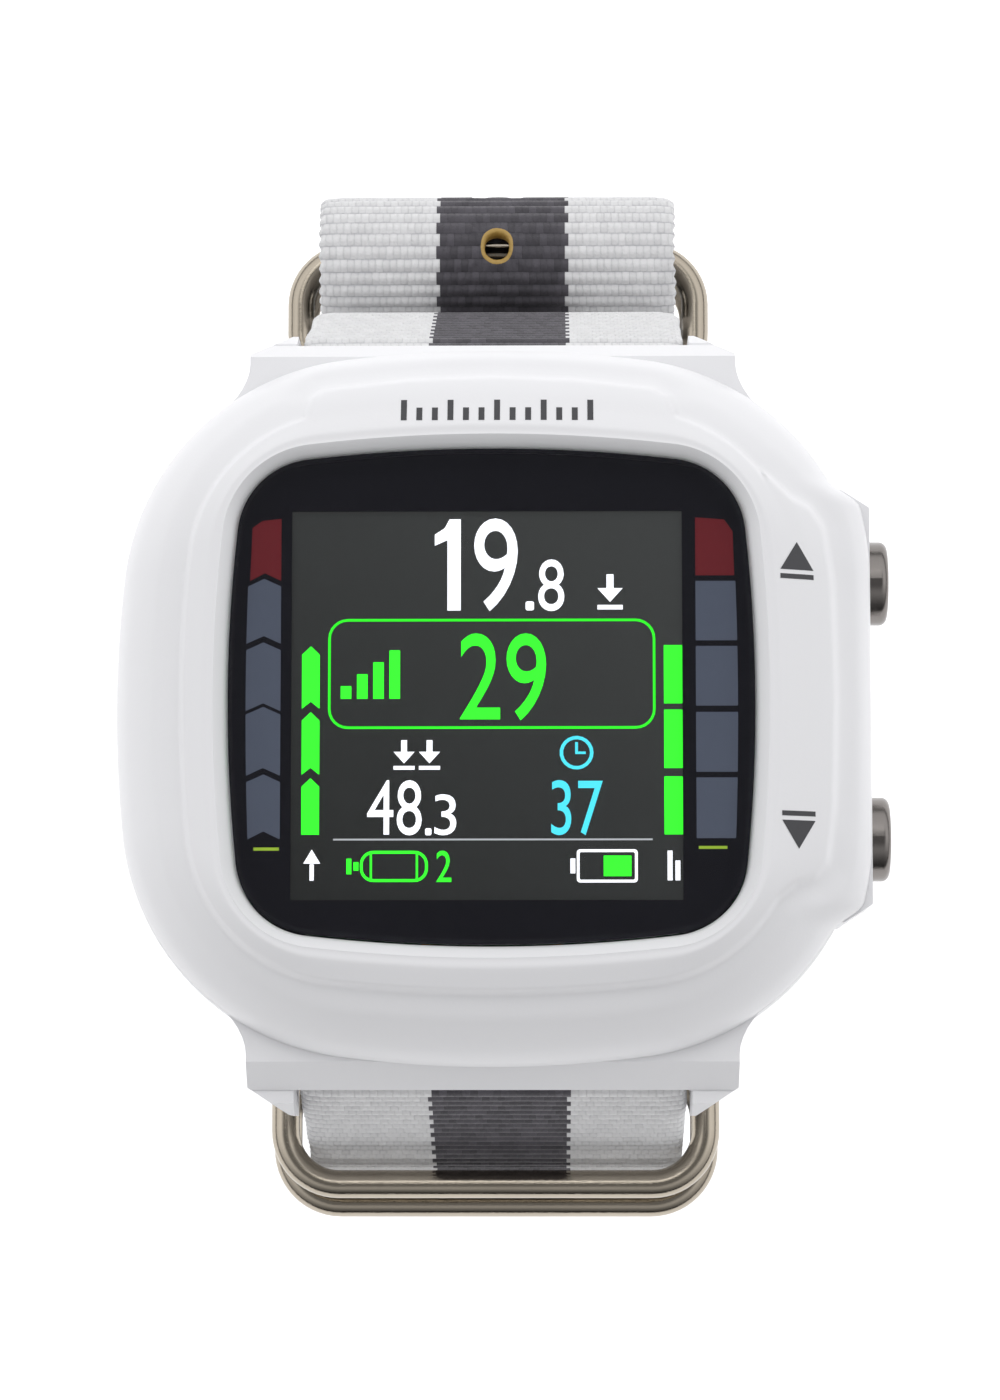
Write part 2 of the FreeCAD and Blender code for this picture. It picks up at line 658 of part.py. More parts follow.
def mid_case():
    levels = [(2.6, 0.0), (0.9, 2.4), (0.05, 5.6), (0.1, PART_LINE)]
    shell = Part.makeLoft([case_wire(inset, height) for inset, height in levels], True, False)
    solid = fuse([shell, lug_block(1), lug_block(-1), guard(up(1.6), up(PART_LINE), 0)])
    tools = [slot_tool(1), slot_tool(-1)]
    tools.append(cavity_prism(0, CASE_Z - 1, up(PART_LINE) + 1))
    tools.append(cavity_prism(LIP_W + RUN, up(PART_LINE) - LIP_H - SEAT, up(PART_LINE) + 1))
    tools.append(cavity_prism(BACK_IN + RUN, CASE_Z - 1, up(BACK_T)))
    groove = cavity_prism(GROOVE_IN + GROOVE_W, up(BACK_T) - 0.1, up(BACK_T + GROOVE_H))
    tools.append(groove.cut(cavity_prism(GROOVE_IN, up(0), up(9))))
    for y in (BAR_Y, -BAR_Y):
        tools.append(cyl_x(TIP_PIN_R + RUN, -TIP_REACH - 0.2, TIP_REACH + 0.2, y, up(BAR_H)))
    for y in (BUTTON_Y, -BUTTON_Y):
        tools.append(cyl_x(BUTTON_R + RUN, BORE_BOTTOM, 60, y, up(BUTTON_H)))
        tools.append(cyl_x(SLEEVE_R + SEAT, STEM_END, 60, y, up(BUTTON_H)))
        tools.append(cyl_x(SLEEVE_FLANGE_R + RUN, STEM_END, SPOT_X, y, up(BUTTON_H)))
    solid = solid.cut(tools)
    bosses = []
    for sx in (-1, 1):
        for sy in (-1, 1):
            boss = cyl_z(BOSS_R, sx * SCREW_X, sy * SCREW_Y, up(BACK_T) + SEAT, up(BOSS_H))
            rib = box(0, 4.5, -0.8, 0.8, up(BACK_T) + SEAT, up(BOSS_H))
            rib.rotate(V(0, 0, 0), Z_DIR, 45)
            if sx < 0:
                rib = rib.mirror(V(0, 0, 0), X_DIR)
            if sy < 0:
                rib = rib.mirror(V(0, 0, 0), Y_DIR)
            rib.translate(V(sx * SCREW_X, sy * SCREW_Y, 0))
            bosses.append(boss)
            bosses.append(rib)
    bosses = fuse(bosses).common(cavity_prism(0.3, CASE_Z, up(9)))
    solid = solid.fuse(bosses).removeSplitter()
    holes = []
    for sx in (-1, 1):
        for sy in (-1, 1):
            holes.append(cyl_z(SCREW_R + SEAT, sx * SCREW_X, sy * SCREW_Y, CASE_Z, up(SCREW_LEN + 0.2)))
    return solid.cut(holes)


def bezel_body(lift):
    levels = [
        (CASE_HX - 0.1, CASE_HY - 0.1, CASE_SIDE_R, CASE_CORNER_R, PART_LINE + SEAT),
        (CASE_HX - 0.7, CASE_HY - 0.7, CASE_SIDE_R, CASE_CORNER_R - 0.6, PART_LINE + 2.0),
        (CASE_HX - 2.6, CASE_HY - 2.6, CASE_SIDE_R + 2, CASE_CORNER_R - 2.6, PART_LINE + 4.3),
        (CASE_HX - 5.3, CASE_HY - 5.3, CASE_SIDE_R + 8, CASE_CORNER_R - 7.0, PART_LINE + 6.1),
        (LENS_HX + 0.8, LENS_HY + 0.8, LENS_SIDE_R, LENS_CORNER_R + 1.0, CASE_T),
    ]
    wires = [barrel(a, b, c, d, up(h) + lift) for a, b, c, d, h in levels]
    return Part.makeLoft(wires, True, False)


def front_bezel():
    solid = bezel_body(0)
    plate = bezel_body(0.3)
    brow = round_box(-13.2, 12.9, CASE_HY - 10.9, CASE_HY - 2.3, up(PART_LINE + 2), up(CASE_T + 2), 1.2)
    cheek = box(CASE_HX - 5.9, CASE_HX - 2.3, -13.4, 13.4, up(PART_LINE) + SEAT, up(CASE_T))
    raised = plate.common(brow.fuse(cheek))
    side = guard(up(PART_LINE) + SEAT, up(PART_LINE + 1.3), 0.0)
    solid = fuse([solid, raised, side])
    lip = cavity_prism(LIP_W, up(PART_LINE) - LIP_H, up(PART_LINE) + 0.5)
    solid = solid.fuse(lip)
    tools = [cavity_prism(0, CASE_Z, LEDGE_BOTTOM)]
    tools.append(window_prism(0, CASE_Z, TOP + 2))
    tools.append(lens_prism(RUN, LEDGE_TOP, TOP + 2))
    return cut(solid, tools)


def case_back():
    plate = cavity_prism(BACK_IN, CASE_Z, up(BACK_T) - SEAT)
    tools = []
    for sx in (-1, 1):
        for sy in (-1, 1):
            tools.append(cyl_z(SCREW_R + 0.1, sx * SCREW_X, sy * SCREW_Y, CASE_Z - 1, up(3)))
            sink = up(SCREW_HEAD_T + 0.1)
            tools.append(cyl_z(SCREW_HEAD_R + 0.1, sx * SCREW_X, sy * SCREW_Y, CASE_Z - 1, sink))
    tools.append(cyl_z(SENSOR_R - 0.6, SENSOR_X, 0, CASE_Z - 1, up(3)))
    tools.append(cyl_z(SENSOR_R, SENSOR_X, 0, CASE_Z - 1, up(0.6)))
    for y in contact_rows():
        tools.append(cyl_z(CONTACT_R + SEAT, CONTACT_X, y, CASE_Z - 1, up(3)))
    return plate.cut(tools)


def contact_rows():
    return [(i - (CONTACT_COUNT - 1) / 2.0) * CONTACT_PITCH for i in range(CONTACT_COUNT)]


def back_screws():
    screws = []
    for sx in (-1, 1):
        for sy in (-1, 1):
            x = sx * SCREW_X
            y = sy * SCREW_Y
            head = cyl_z(SCREW_HEAD_R, x, y, up(0.08), up(0.08 + SCREW_HEAD_T))
            shank = cyl_z(SCREW_R, x, y, up(0.5), up(SCREW_LEN))
            screw = head.fuse(shank)
            slot = box(x - 2, x + 2, y - 0.2, y + 0.2, up(-0.5), up(0.5))
            cross = box(x - 0.2, x + 0.2, y - 2, y + 2, up(-0.5), up(0.5))
            keep = cyl_z(SCREW_HEAD_R - 0.45, x, y, up(-0.5), up(0.5))
            screws.append(screw.cut(slot.fuse(cross).common(keep)))
    return screws


def back_gasket():
    low = up(BACK_T) + SEAT
    high = up(BACK_T + GROOVE_H) - 0.05
    outer = cavity_prism(GROOVE_IN + GROOVE_W - 0.05, low, high)
    return outer.cut(cavity_prism(GROOVE_IN + 0.05, low - 1, high + 1))


# ---- glass and electronics ------------------------------------------------------------------
def lens():
    glass = lens_prism(0, LENS_BOTTOM, LENS_TOP)
    rim = [e for e in glass.Edges if abs(e.BoundBox.ZMin - LENS_TOP) < 1e-6 and e.BoundBox.ZLength < 1e-6]
    return glass.makeChamfer(0.35, rim)


def display_mask():
    sheet = lens_prism(0, MASK_BOTTOM, MASK_BOTTOM + MASK_T)
    half = ACTIVE / 2.0
    window = box(SCREEN_DX - half, SCREEN_DX + half, SCREEN_DY - half, SCREEN_DY + half, CASE_Z, TOP)
    return sheet.cut(window)


def lens_gasket():
    ring_solid = lens_prism(-0.05, GASKET_BOTTOM, GASKET_BOTTOM + GASKET_T)
    return ring_solid.cut(window_prism(0.15, GASKET_BOTTOM - 1, TOP))


def display_panel():
    return round_box(SCREEN_DX - PANEL_HX, SCREEN_DX + PANEL_HX, SCREEN_DY - PANEL_HY, SCREEN_DY + PANEL_HY,
                     PANEL_BOTTOM, PANEL_TOP, PANEL_CORNER)


def display_carrier():
    low = up(BOARD_H[1]) + SEAT
    high = PANEL_BOTTOM - SEAT
    half = PIN_X + 1.7
    frame = round_box(-half, half, -half + 0.1, half - 0.1, low, high, 2.0)
    half = PIN_X - 1.7
    tools = [round_box(-half, half, -half - 0.1, half + 0.1, low - 1, high + 1, 1.5)]
    for sx in (-1, 1):
        for sy in (-1, 1):
            tools.append(cyl_z(0.62, sx * PIN_X, sy * PIN_Y, low - 1, up(10.6)))
    return frame.cut(tools)


def carrier_screws():
    screws = []
    for sx in (-1, 1):
        for sy in (-1, 1):
            head = cyl_z(1.1, sx * PIN_X, sy * PIN_Y, up(BOARD_H[0] - 0.52), up(BOARD_H[0]) - SEAT)
            shank = cyl_z(0.6, sx * PIN_X, sy * PIN_Y, up(BOARD_H[0] - 0.3), up(10.5))
            screws.append(head.fuse(shank))
    return screws


def main_board():
    board = cavity_prism(BOARD_HY - CAVITY_HY, up(BOARD_H[0]), up(BOARD_H[1]))
    board = board.common(box(BOARD_X[0], BOARD_X[1], -BOARD_HY, BOARD_HY, CASE_Z, TOP))
    tools = []
    for sx in (-1, 1):
        for sy in (-1, 1):
            tools.append(cyl_z(0.7, sx * PIN_X, sy * PIN_Y, CASE_Z, TOP))
    return board.cut(tools)


def board_chips():
    low = up(BOARD_H[1]) + SEAT
    chips = []
    for x, y, wx, wy, t in (
        (-4.5, 3.5, 7.0, 7.0, 0.9), (5.5, 5.5, 5.0, 5.0, 0.8), (5.0, -4.0, 4.0, 3.0, 0.7),
        (-7.5, -6.0, 5.0, 6.0, 1.0), (0.5, -8.5, 3.0, 1.6, 0.6), (10.5, 0.5, 1.6, 3.2, 0.7),
        (-10.8, 8.0, 2.0, 3.2, 0.8), (9.5, -9.5, 2.5, 2.0, 1.1), (0.8, 10.2, 3.2, 1.6, 0.6),
    ):
        chips.append(box(x - wx / 2.0, x + wx / 2.0, y - wy / 2.0, y + wy / 2.0, low, low + t))
    return chips


def display_flex():
    low = up(BOARD_H[1]) + SEAT
    y = 0.8 - BOARD_HY
    strip = box(-5, 5, y, y + 0.15, low, PANEL_BOTTOM + 0.4)
    fold = box(-5, 5, y, SCREEN_DY - PANEL_HY - 0.05, PANEL_BOTTOM + 0.25, PANEL_BOTTOM + 0.4)
    foot = box(-5, 5, y, y + 0.6, low, low + 0.15)
    return fuse([strip, fold, foot])


def battery():
    low = up(BATTERY_H[0])
    return round_box(BATTERY_X[0], BATTERY_X[1], -BATTERY_HY, BATTERY_HY, low, up(BATTERY_H[1]), 1.5)


def battery_pad():
    x0 = max(BATTERY_X[0] + 2, 2.2 - PIN_X)
    x1 = min(BATTERY_X[1] - 2, PIN_X - 2.2)
    low = up(BATTERY_H[1]) + 0.03
    high = up(BOARD_H[0]) - 0.03
    return round_box(x0, x1, 2 - BATTERY_HY, BATTERY_HY - 2, low, high, 1.0)


def piezo_buzzer():
    low = up(BACK_T) + 0.02
    return cyl_z(6.5, 0, 0, low, low + 0.25).fuse(cyl_z(4.5, 0, 0, low, low + 0.5))


def pressure_sensor():
    low = up(BACK_T) + 0.02
    can = cyl_z(SENSOR_R, SENSOR_X, 0, low + 0.85, low + 2.4)
    nose = cyl_z(SENSOR_R - 1.1, SENSOR_X, 0, up(0.95), low + 0.9)
    port = cyl_z(0.5, SENSOR_X, 0, up(0.5), up(1.6))
    return can.fuse(nose).cut(port)


def sensor_oring():
    low = up(BACK_T) + 0.02
    return Part.makeTorus(SENSOR_R - 0.6, 0.4, V(SENSOR_X, 0, low + 0.42), Z_DIR)


def sensor_grille():
    disc = cyl_z(SENSOR_R - RUN, SENSOR_X, 0, up(0.05), up(0.55))
    tools = [cyl_z(0.22, SENSOR_X, 0, CASE_Z - 1, up(1))]
    for i in range(6):
        a = math.radians(60 * i)
        tools.append(cyl_z(0.22, SENSOR_X + 1.1 * math.cos(a), 1.1 * math.sin(a), CASE_Z - 1, up(1)))
    return disc.cut(tools)


def charging_block():
    rows = contact_rows()
    block = box(CONTACT_X - 1.6, CONTACT_X + 1.6, rows[0] - 1.4, rows[-1] + 1.4, up(BACK_T) + SEAT, up(3.4))
    return block.cut([cyl_z(CONTACT_R + SEAT, CONTACT_X, y, CASE_Z, up(5)) for y in rows])


def charging_contacts():
    pins = []
    for y in contact_rows():
        pins.append(cyl_z(CONTACT_R, CONTACT_X, y, up(-0.05), up(3.4)).fuse(
            cyl_z(0.4, CONTACT_X, y, up(3.3), up(BOARD_H[0]) - SEAT)))
    return pins


# ---- buttons --------------------------------------------------------------------------------
def button(y):
    z = up(BUTTON_H)
    face = GUARD_X + BUTTON_OUT
    cap = cyl_x(BUTTON_R, CAP_BACK, face, y, z)
    rim = [e for e in cap.Edges if abs(e.BoundBox.XMin - face) < 1e-6]
    cap = cap.makeFillet(0.55, rim)
    groove = cyl_x(BUTTON_R + 1, CAP_BACK + 0.5, CAP_BACK + 1.3, y, z).cut(
        cyl_x(BUTTON_R - 0.7, CAP_BACK, CAP_BACK + 2, y, z))
    stem = cyl_x(STEM_R, STEM_END, CAP_BACK + 0.5, y, z)
    clip_x = SLEEVE_IN - 0.05
    notch = cyl_x(STEM_R + 1, clip_x - CLIP_T - SEAT, clip_x + SEAT, y, z).cut(
        cyl_x(CLIP_BORE - SEAT, 0, 60, y, z))
    return cut(cap.fuse(stem), [groove, notch])


def button_oring(y):
    return Part.makeTorus(BUTTON_R - 0.33, 0.34, V(CAP_BACK + 0.9, y, up(BUTTON_H)), X_DIR)


def button_clip(y):
    z = up(BUTTON_H)
    x1 = SLEEVE_IN - 0.05
    disc = cyl_x(CLIP_R, x1 - CLIP_T, x1, y, z).cut(cyl_x(CLIP_BORE, 0, 60, y, z))
    mouth = box(x1 - 2, x1 + 1, y - 0.55, y + 0.55, z - 3, z)
    return disc.cut(mouth)


def button_spring(y):
    return coil(BUTTON_R - 0.7, 0.2, BORE_BOTTOM + 0.05, CAP_BACK - 0.05, 2.75, y, up(BUTTON_H))


def button_sleeve(y):
    z = up(BUTTON_H)
    tube = cyl_x(SLEEVE_R, SLEEVE_IN, BORE_BOTTOM - 0.05, y, z)
    flange = cyl_x(SLEEVE_FLANGE_R, SLEEVE_IN, SPOT_X - SEAT, y, z)
    return tube.fuse(flange).cut(cyl_x(STEM_R + RUN, 0, 60, y, z)).removeSplitter()


def switch_body(y):
    z = up(BUTTON_H)
    body = box(SWITCH_X[0], SWITCH_X[1], y - SWITCH_HY, y + SWITCH_HY, up(SWITCH_H[0]), up(SWITCH_H[1]))
    return body.cut(cyl_x(PLUNGER_R + RUN, SWITCH_X[1] - 1.3, 40, y, z))


def switch_plunger(y):
    return cyl_x(PLUNGER_R, SWITCH_X[1] - 0.6, STEM_END - 0.02, y, up(BUTTON_H))


def main():
    os.makedirs("parts", exist_ok=True)
    save("front_bezel", front_bezel())
    save("mid_case", mid_case())
    save("case_back", case_back())
    save("back_screws", back_screws())
    save("back_gasket", back_gasket())
    save("lens", lens())
    save("display_mask", display_mask())
    save("lens_gasket", lens_gasket())
    save("display_panel", display_panel())
    save("display_carrier", display_carrier())
    save("carrier_screws", carrier_screws())
    save("main_board", main_board())
    save("board_chips", board_chips())
    save("display_flex", display_flex())
    save("battery", battery())
    save("battery_pad", battery_pad())
    save("piezo_buzzer", piezo_buzzer())
    save("pressure_sensor", pressure_sensor())
    save("sensor_oring", sensor_oring())
    save("sensor_grille", sensor_grille())
    save("charging_block", charging_block())
    save("charging_contacts", charging_contacts())
    save("button_sleeves", [button_sleeve(BUTTON_Y), button_sleeve(-BUTTON_Y)])
    save("switch_bodies", [switch_body(BUTTON_Y), switch_body(-BUTTON_Y)])
    for name, y in (("upper", BUTTON_Y), ("lower", -BUTTON_Y)):
        save(name + "_button", button(y))
        save(name + "_button_oring", button_oring(y))
        save(name + "_button_clip", button_clip(y))
        save(name + "_button_spring", button_spring(y))
        save(name + "_switch_plunger", switch_plunger(y))
    for name, y in (("top", BAR_Y), ("bottom", -BAR_Y)):
        save(name + "_bar_tube", bar_tube(y))
        save(name + "_bar_tip_left", bar_tip(y, -1))
        save(name + "_bar_tip_right", bar_tip(y, 1))
        save(name + "_bar_spring_left", bar_spring(y, -1))
        save(name + "_bar_spring_right", bar_spring(y, 1))
    save("main_strap", main_strap())
    save("short_strap", short_strap())
    save("sewn_ring", ring(*SEWN_RING))
    save("stack_ring", ring(*STACK_RING))
    save("upper_keeper_ring", ring(KEEPER_Y, KEEPER_HIGH_Z))
    save("lower_keeper_ring", ring(KEEPER_Y, KEEPER_LOW_Z))
    save("buckle_frame", buckle_frame())
    save("buckle_tongue", buckle_tongue())


main()
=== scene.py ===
"""Looks of a wrist dive computer: shell, glass, display, webbing strap, metal parts, insides and stage."""

import math

import bmesh
import bpy
from mathutils import Matrix, Vector, noise
from mathutils.bvhtree import BVHTree


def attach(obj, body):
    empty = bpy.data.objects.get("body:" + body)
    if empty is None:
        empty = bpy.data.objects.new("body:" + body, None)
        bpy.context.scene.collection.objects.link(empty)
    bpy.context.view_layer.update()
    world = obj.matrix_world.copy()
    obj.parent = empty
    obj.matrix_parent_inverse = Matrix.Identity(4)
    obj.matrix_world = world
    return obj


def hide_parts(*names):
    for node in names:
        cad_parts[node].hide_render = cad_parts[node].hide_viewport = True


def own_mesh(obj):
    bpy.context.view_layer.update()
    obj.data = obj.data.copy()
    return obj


bl_info = {
    "name": "Dive Computer Looks",
    "version": (1, 0, 0),
    "blender": (4, 5, 0),
    "location": "3D View > Sidebar > Dive Computer",
    "description": "Builds the visible surfaces of a wrist dive computer",
    "category": "Object",
}

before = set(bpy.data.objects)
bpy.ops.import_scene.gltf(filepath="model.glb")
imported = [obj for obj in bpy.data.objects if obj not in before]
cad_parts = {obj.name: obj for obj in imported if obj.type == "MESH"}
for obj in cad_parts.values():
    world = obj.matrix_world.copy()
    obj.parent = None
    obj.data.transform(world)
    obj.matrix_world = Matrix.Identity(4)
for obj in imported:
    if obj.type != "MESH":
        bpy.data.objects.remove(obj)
MM = 0.001
# Level and thickness of what is lit on the display.
FACE_Z = 64.69
FACE_T = 0.02


# ---- settings -------------------------------------------------------------------------------
def length(name, description, default):
    return bpy.props.FloatProperty(
        name=name, description=description, default=default, unit="LENGTH", subtype="DISTANCE", precision=6)


def colour(name, description, default):
    return bpy.props.FloatVectorProperty(
        name=name, description=description, default=default, size=3, min=0.0, max=1.0, subtype="COLOR")


class ShellSettings(bpy.types.PropertyGroup):
    white: colour("Shell colour", "Colour of the moulded case", (0.80, 0.80, 0.815))
    valley: length("Valley depth", "Depth of the soft channel round the glass", 0.00035)
    pad: length("Pad height", "Height of the raised brow and cheek plates", 0.0003)
    grain: length("Grain size", "Size of the fine moulding texture", 0.00022)


class DisplaySettings(bpy.types.PropertyGroup):
    ink: colour("Ink", "Colour of the printed border under the glass", (0.006, 0.006, 0.008))
    face: colour("Panel", "Colour of the dark panel", (0.0185, 0.0195, 0.0195))
    green: colour("Green", "Colour of the main reading", (0.035, 0.92, 0.028))
    cyan: colour("Cyan", "Colour of the lesser reading", (0.06, 0.53, 0.62))
    white: colour("White", "Colour of the plain readings", (0.80, 0.82, 0.86))


class StrapSettings(bpy.types.PropertyGroup):
    width: length("Width", "Width of the webbing", 0.0278)
    thickness: length("Thickness", "Thickness of the webbing", 0.0012)
    rib: length("Rib height", "How far the ribs stand up", 0.00016)
    thread: length("Thread width", "Width of one bump along a rib", 0.00056)
    white: colour("Strap colour", "Colour of the outer bands", (0.75, 0.75, 0.755))
    stripe: colour("Stripe colour", "Colour of the middle band", (0.072, 0.067, 0.079))
    rim: colour("Eyelet rim", "Colour of the melted rim of a hole", (0.42, 0.27, 0.07))


class MetalSettings(bpy.types.PropertyGroup):
    ring: colour("Ring steel", "Tint of the rings and buckle", (0.40, 0.355, 0.29))
    button: colour("Button steel", "Tint of the push buttons", (0.205, 0.19, 0.18))


class StageSettings(bpy.types.PropertyGroup):
    floor: colour("Floor", "Colour of the floor", (0.95, 0.95, 0.955))
    sky: bpy.props.FloatProperty(name="Sky strength", description="Strength of the surrounding light",
                                 default=0.88, min=0.0)
    lens: bpy.props.FloatProperty(name="Lens", description="Focal length of the camera in millimetres",
                                  default=109.9, min=10.0)


# ---- meshes ---------------------------------------------------------------------------------
def add_object(name, verts, faces, material, uvs=None, smooth=True, outward=True):
    """Mesh object from corners in millimetres. uvs holds one pair for each corner, in millimetres."""
    mesh = bpy.data.meshes.new(name)
    mesh.from_pydata([Vector(v) * MM for v in verts], [], faces)
    if uvs:
        layer = mesh.uv_layers.new(name="UVMap")
        for loop in mesh.loops:
            layer.data[loop.index].uv = uvs[loop.vertex_index]
    if outward:
        work = bmesh.new()
        work.from_mesh(mesh)
        bmesh.ops.recalc_face_normals(work, faces=work.faces)
        work.to_mesh(mesh)
        work.free()
    mesh.polygons.foreach_set("use_smooth", [smooth] * len(mesh.polygons))
    mesh.update()
    obj = bpy.data.objects.new(name, mesh)
    bpy.context.scene.collection.objects.link(obj)
    mesh.materials.append(material)
    return obj


def plates(name, outlines, z, thick, material, body="computer"):
    """Thin flat plates, one for each outline of (x, y) corners, lying at height z."""
    verts = []
    faces = []
    for outline in outlines:
        base = len(verts)
        count = len(outline)
        for level in (z, z + thick):
            verts.extend((x, y, level) for x, y in outline)
        faces.append([base + count + i for i in range(count)])
        faces.append([base + count - 1 - i for i in range(count)])
        for i in range(count):
            k = (i + 1) % count
            faces.append([base + i, base + k, base + count + k, base + count + i])
    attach(add_object(name, verts, faces, material, smooth=False), body)


def drape(name, outline, height, material):
    """A thin printed mark with a bowed-out outline that follows the surface under it."""
    low, high = min(y for x, y in outline), max(y for x, y in outline)
    rows, across = 14, 10
    verts = []
    for r in range(rows + 1):
        y = low + (high - low) * (0.002 + 0.996 * r / rows)
        hits = []
        for (x0, y0), (x1, y1) in zip(outline, outline[1:] + outline[:1]):
            if (y0 > y) != (y1 > y):
                hits.append(x0 + (x1 - x0) * (y - y0) / (y1 - y0))
        for c in range(across + 1):
            x = min(hits) + (max(hits) - min(hits)) * c / across
            verts.append((x, y, height(x, y) + 0.025))
    wide = across + 1
    count = len(verts)
    verts += [(x, y, z - 0.1) for x, y, z in verts]
    faces = []
    for r in range(rows):
        for c in range(across):
            quad = [r * wide + c, r * wide + c + 1, (r + 1) * wide + c + 1, (r + 1) * wide + c]
            faces.append(quad)
            faces.append([count + i for i in reversed(quad)])
    loop = list(range(wide)) + [r * wide + across for r in range(1, rows + 1)]
    loop += [rows * wide + c for c in range(across - 1, -1, -1)] + [r * wide for r in range(rows - 1, 0, -1)]
    for i, j in zip(loop, loop[1:] + loop[:1]):
        faces.append([i, count + i, count + j, j])
    return add_object(name, verts, faces, material, smooth=False)


def rect(x0, y0, x1, y1):
    return [(x0, y0), (x1, y0), (x1, y1), (x0, y1)]


def round_rect(x0, y0, x1, y1, radius, steps=6):
    points = []
    for cx, cy, start in ((x1 - radius, y0 + radius, -90), (x1 - radius, y1 - radius, 0),
                          (x0 + radius, y1 - radius, 90), (x0 + radius, y0 + radius, 180)):
        for i in range(steps + 1):
            a = math.radians(start + 90.0 * i / steps)
            points.append((cx + radius * math.cos(a), cy + radius * math.sin(a)))
    return points


def frame_outline(name, outer, inner, material):
    """A flat closed line on the lit face, between two outlines with equal numbers of corners."""
    count = len(outer)
    verts = []
    for level in (FACE_Z, FACE_Z + FACE_T):
        verts.extend((x, y, level) for x, y in outer + inner)
    faces = []
    for i in range(count):
        k = (i + 1) % count
        low_out, low_in, top_out, top_in = ((i + n * count, k + n * count) for n in range(4))
        faces.append([top_out[0], top_out[1], top_in[1], top_in[0]])
        faces.append([low_out[1], low_out[0], low_in[0], low_in[1]])
        faces.append([low_out[0], low_out[1], top_out[1], top_out[0]])
        faces.append([low_in[1], low_in[0], top_in[0], top_in[1]])
    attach(add_object(name, verts, faces, material, smooth=False), "computer")


def lit_plates(name, outlines, material):
    plates(name, outlines, FACE_Z, FACE_T, material)


def settle(source, name, body):
    """Turns a curve or generated shape into a mesh object that moves with a body."""
    bpy.context.scene.collection.objects.link(source)
    bpy.context.view_layer.update()
    mesh = bpy.data.meshes.new_from_object(source.evaluated_get(bpy.context.evaluated_depsgraph_get()))
    bpy.data.objects.remove(source)
    mesh.name = name
    obj = bpy.data.objects.new(name, mesh)
    bpy.context.scene.collection.objects.link(obj)
    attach(obj, body)
    return obj


def numeral(name, text, x0, y0, x1, y1, material):
    """Digits fitted into a box on the lit face, as a flat mesh."""
    curve = bpy.data.curves.new(name, "FONT")
    curve.body = text
    curve.extrude = 0.02
    curve.resolution_u = 6
    mesh = settle(bpy.data.objects.new(name + "_source", curve), name, "computer").data
    xs, ys, zs = ([v.co[axis] for v in mesh.vertices] for axis in range(3))
    grow_x = (x1 - x0) / (max(xs) - min(xs))
    grow_y = (y1 - y0) / (max(ys) - min(ys))
    for v in mesh.vertices:
        v.co = Vector((x0 + (v.co.x - min(xs)) * grow_x, y0 + (v.co.y - min(ys)) * grow_y,
                       FACE_Z + (v.co.z - min(zs)))) * MM
    mesh.materials.clear()
    mesh.materials.append(material)


# ---- materials ------------------------------------------------------------------------------
def feed(tree, node, inputs):
    """Gives inputs of a node their values, or joins them to the sockets given instead of values."""
    for label, value in inputs.items():
        if isinstance(value, bpy.types.NodeSocket):
            tree.links.new(value, node.inputs[label])
        else:
            node.inputs[label].default_value = value


def add_node(tree, kind, inputs=None, **attributes):
    node = tree.nodes.new(kind)
    for key, value in attributes.items():
        setattr(node, key, value)
    feed(tree, node, inputs or {})
    return node


def maths(tree, operation, *values):
    return add_node(tree, "ShaderNodeMath", dict(enumerate(values)), operation=operation).outputs[0]


def new_group(name, inputs, outputs):
    tree = bpy.data.node_groups.new(name, "ShaderNodeTree")
    for label, kind, value in inputs:
        socket = tree.interface.new_socket(label, in_out="INPUT", socket_type=kind)
        if value is not None:
            socket.default_value = value
    for label in outputs:
        tree.interface.new_socket(label, in_out="OUTPUT", socket_type="NodeSocketFloat")
    return tree, tree.nodes.new("NodeGroupInput"), tree.nodes.new("NodeGroupOutput")


def grain_group():
    """Fine texture and broad unevenness of a moulded or rolled surface."""
    name = "Surface grain"
    if name in bpy.data.node_groups:
        return bpy.data.node_groups[name]
    tree, entry, result = new_group(
        name,
        [("Vector", "NodeSocketVector", None), ("Grain Size", "NodeSocketFloat", 0.0002),
         ("Cloud Size", "NodeSocketFloat", 0.01), ("Stretch", "NodeSocketVector", (1.0, 1.0, 1.0))],
        ["Height", "Cloud"])
    place = entry.outputs["Vector"]
    scaled = add_node(tree, "ShaderNodeVectorMath", {0: place, 1: entry.outputs["Stretch"]},
                      operation="MULTIPLY")
    fine = add_node(tree, "ShaderNodeTexNoise", {
        "Vector": scaled.outputs[0], "Detail": 2.0,
        "Scale": maths(tree, "DIVIDE", 1.0, entry.outputs["Grain Size"])})
    cloud = add_node(tree, "ShaderNodeTexNoise", {
        "Vector": place, "Detail": 3.0, "Scale": maths(tree, "DIVIDE", 1.0, entry.outputs["Cloud Size"])})
    feed(tree, result, {"Height": fine.outputs["Fac"], "Cloud": cloud.outputs["Fac"]})
    return tree


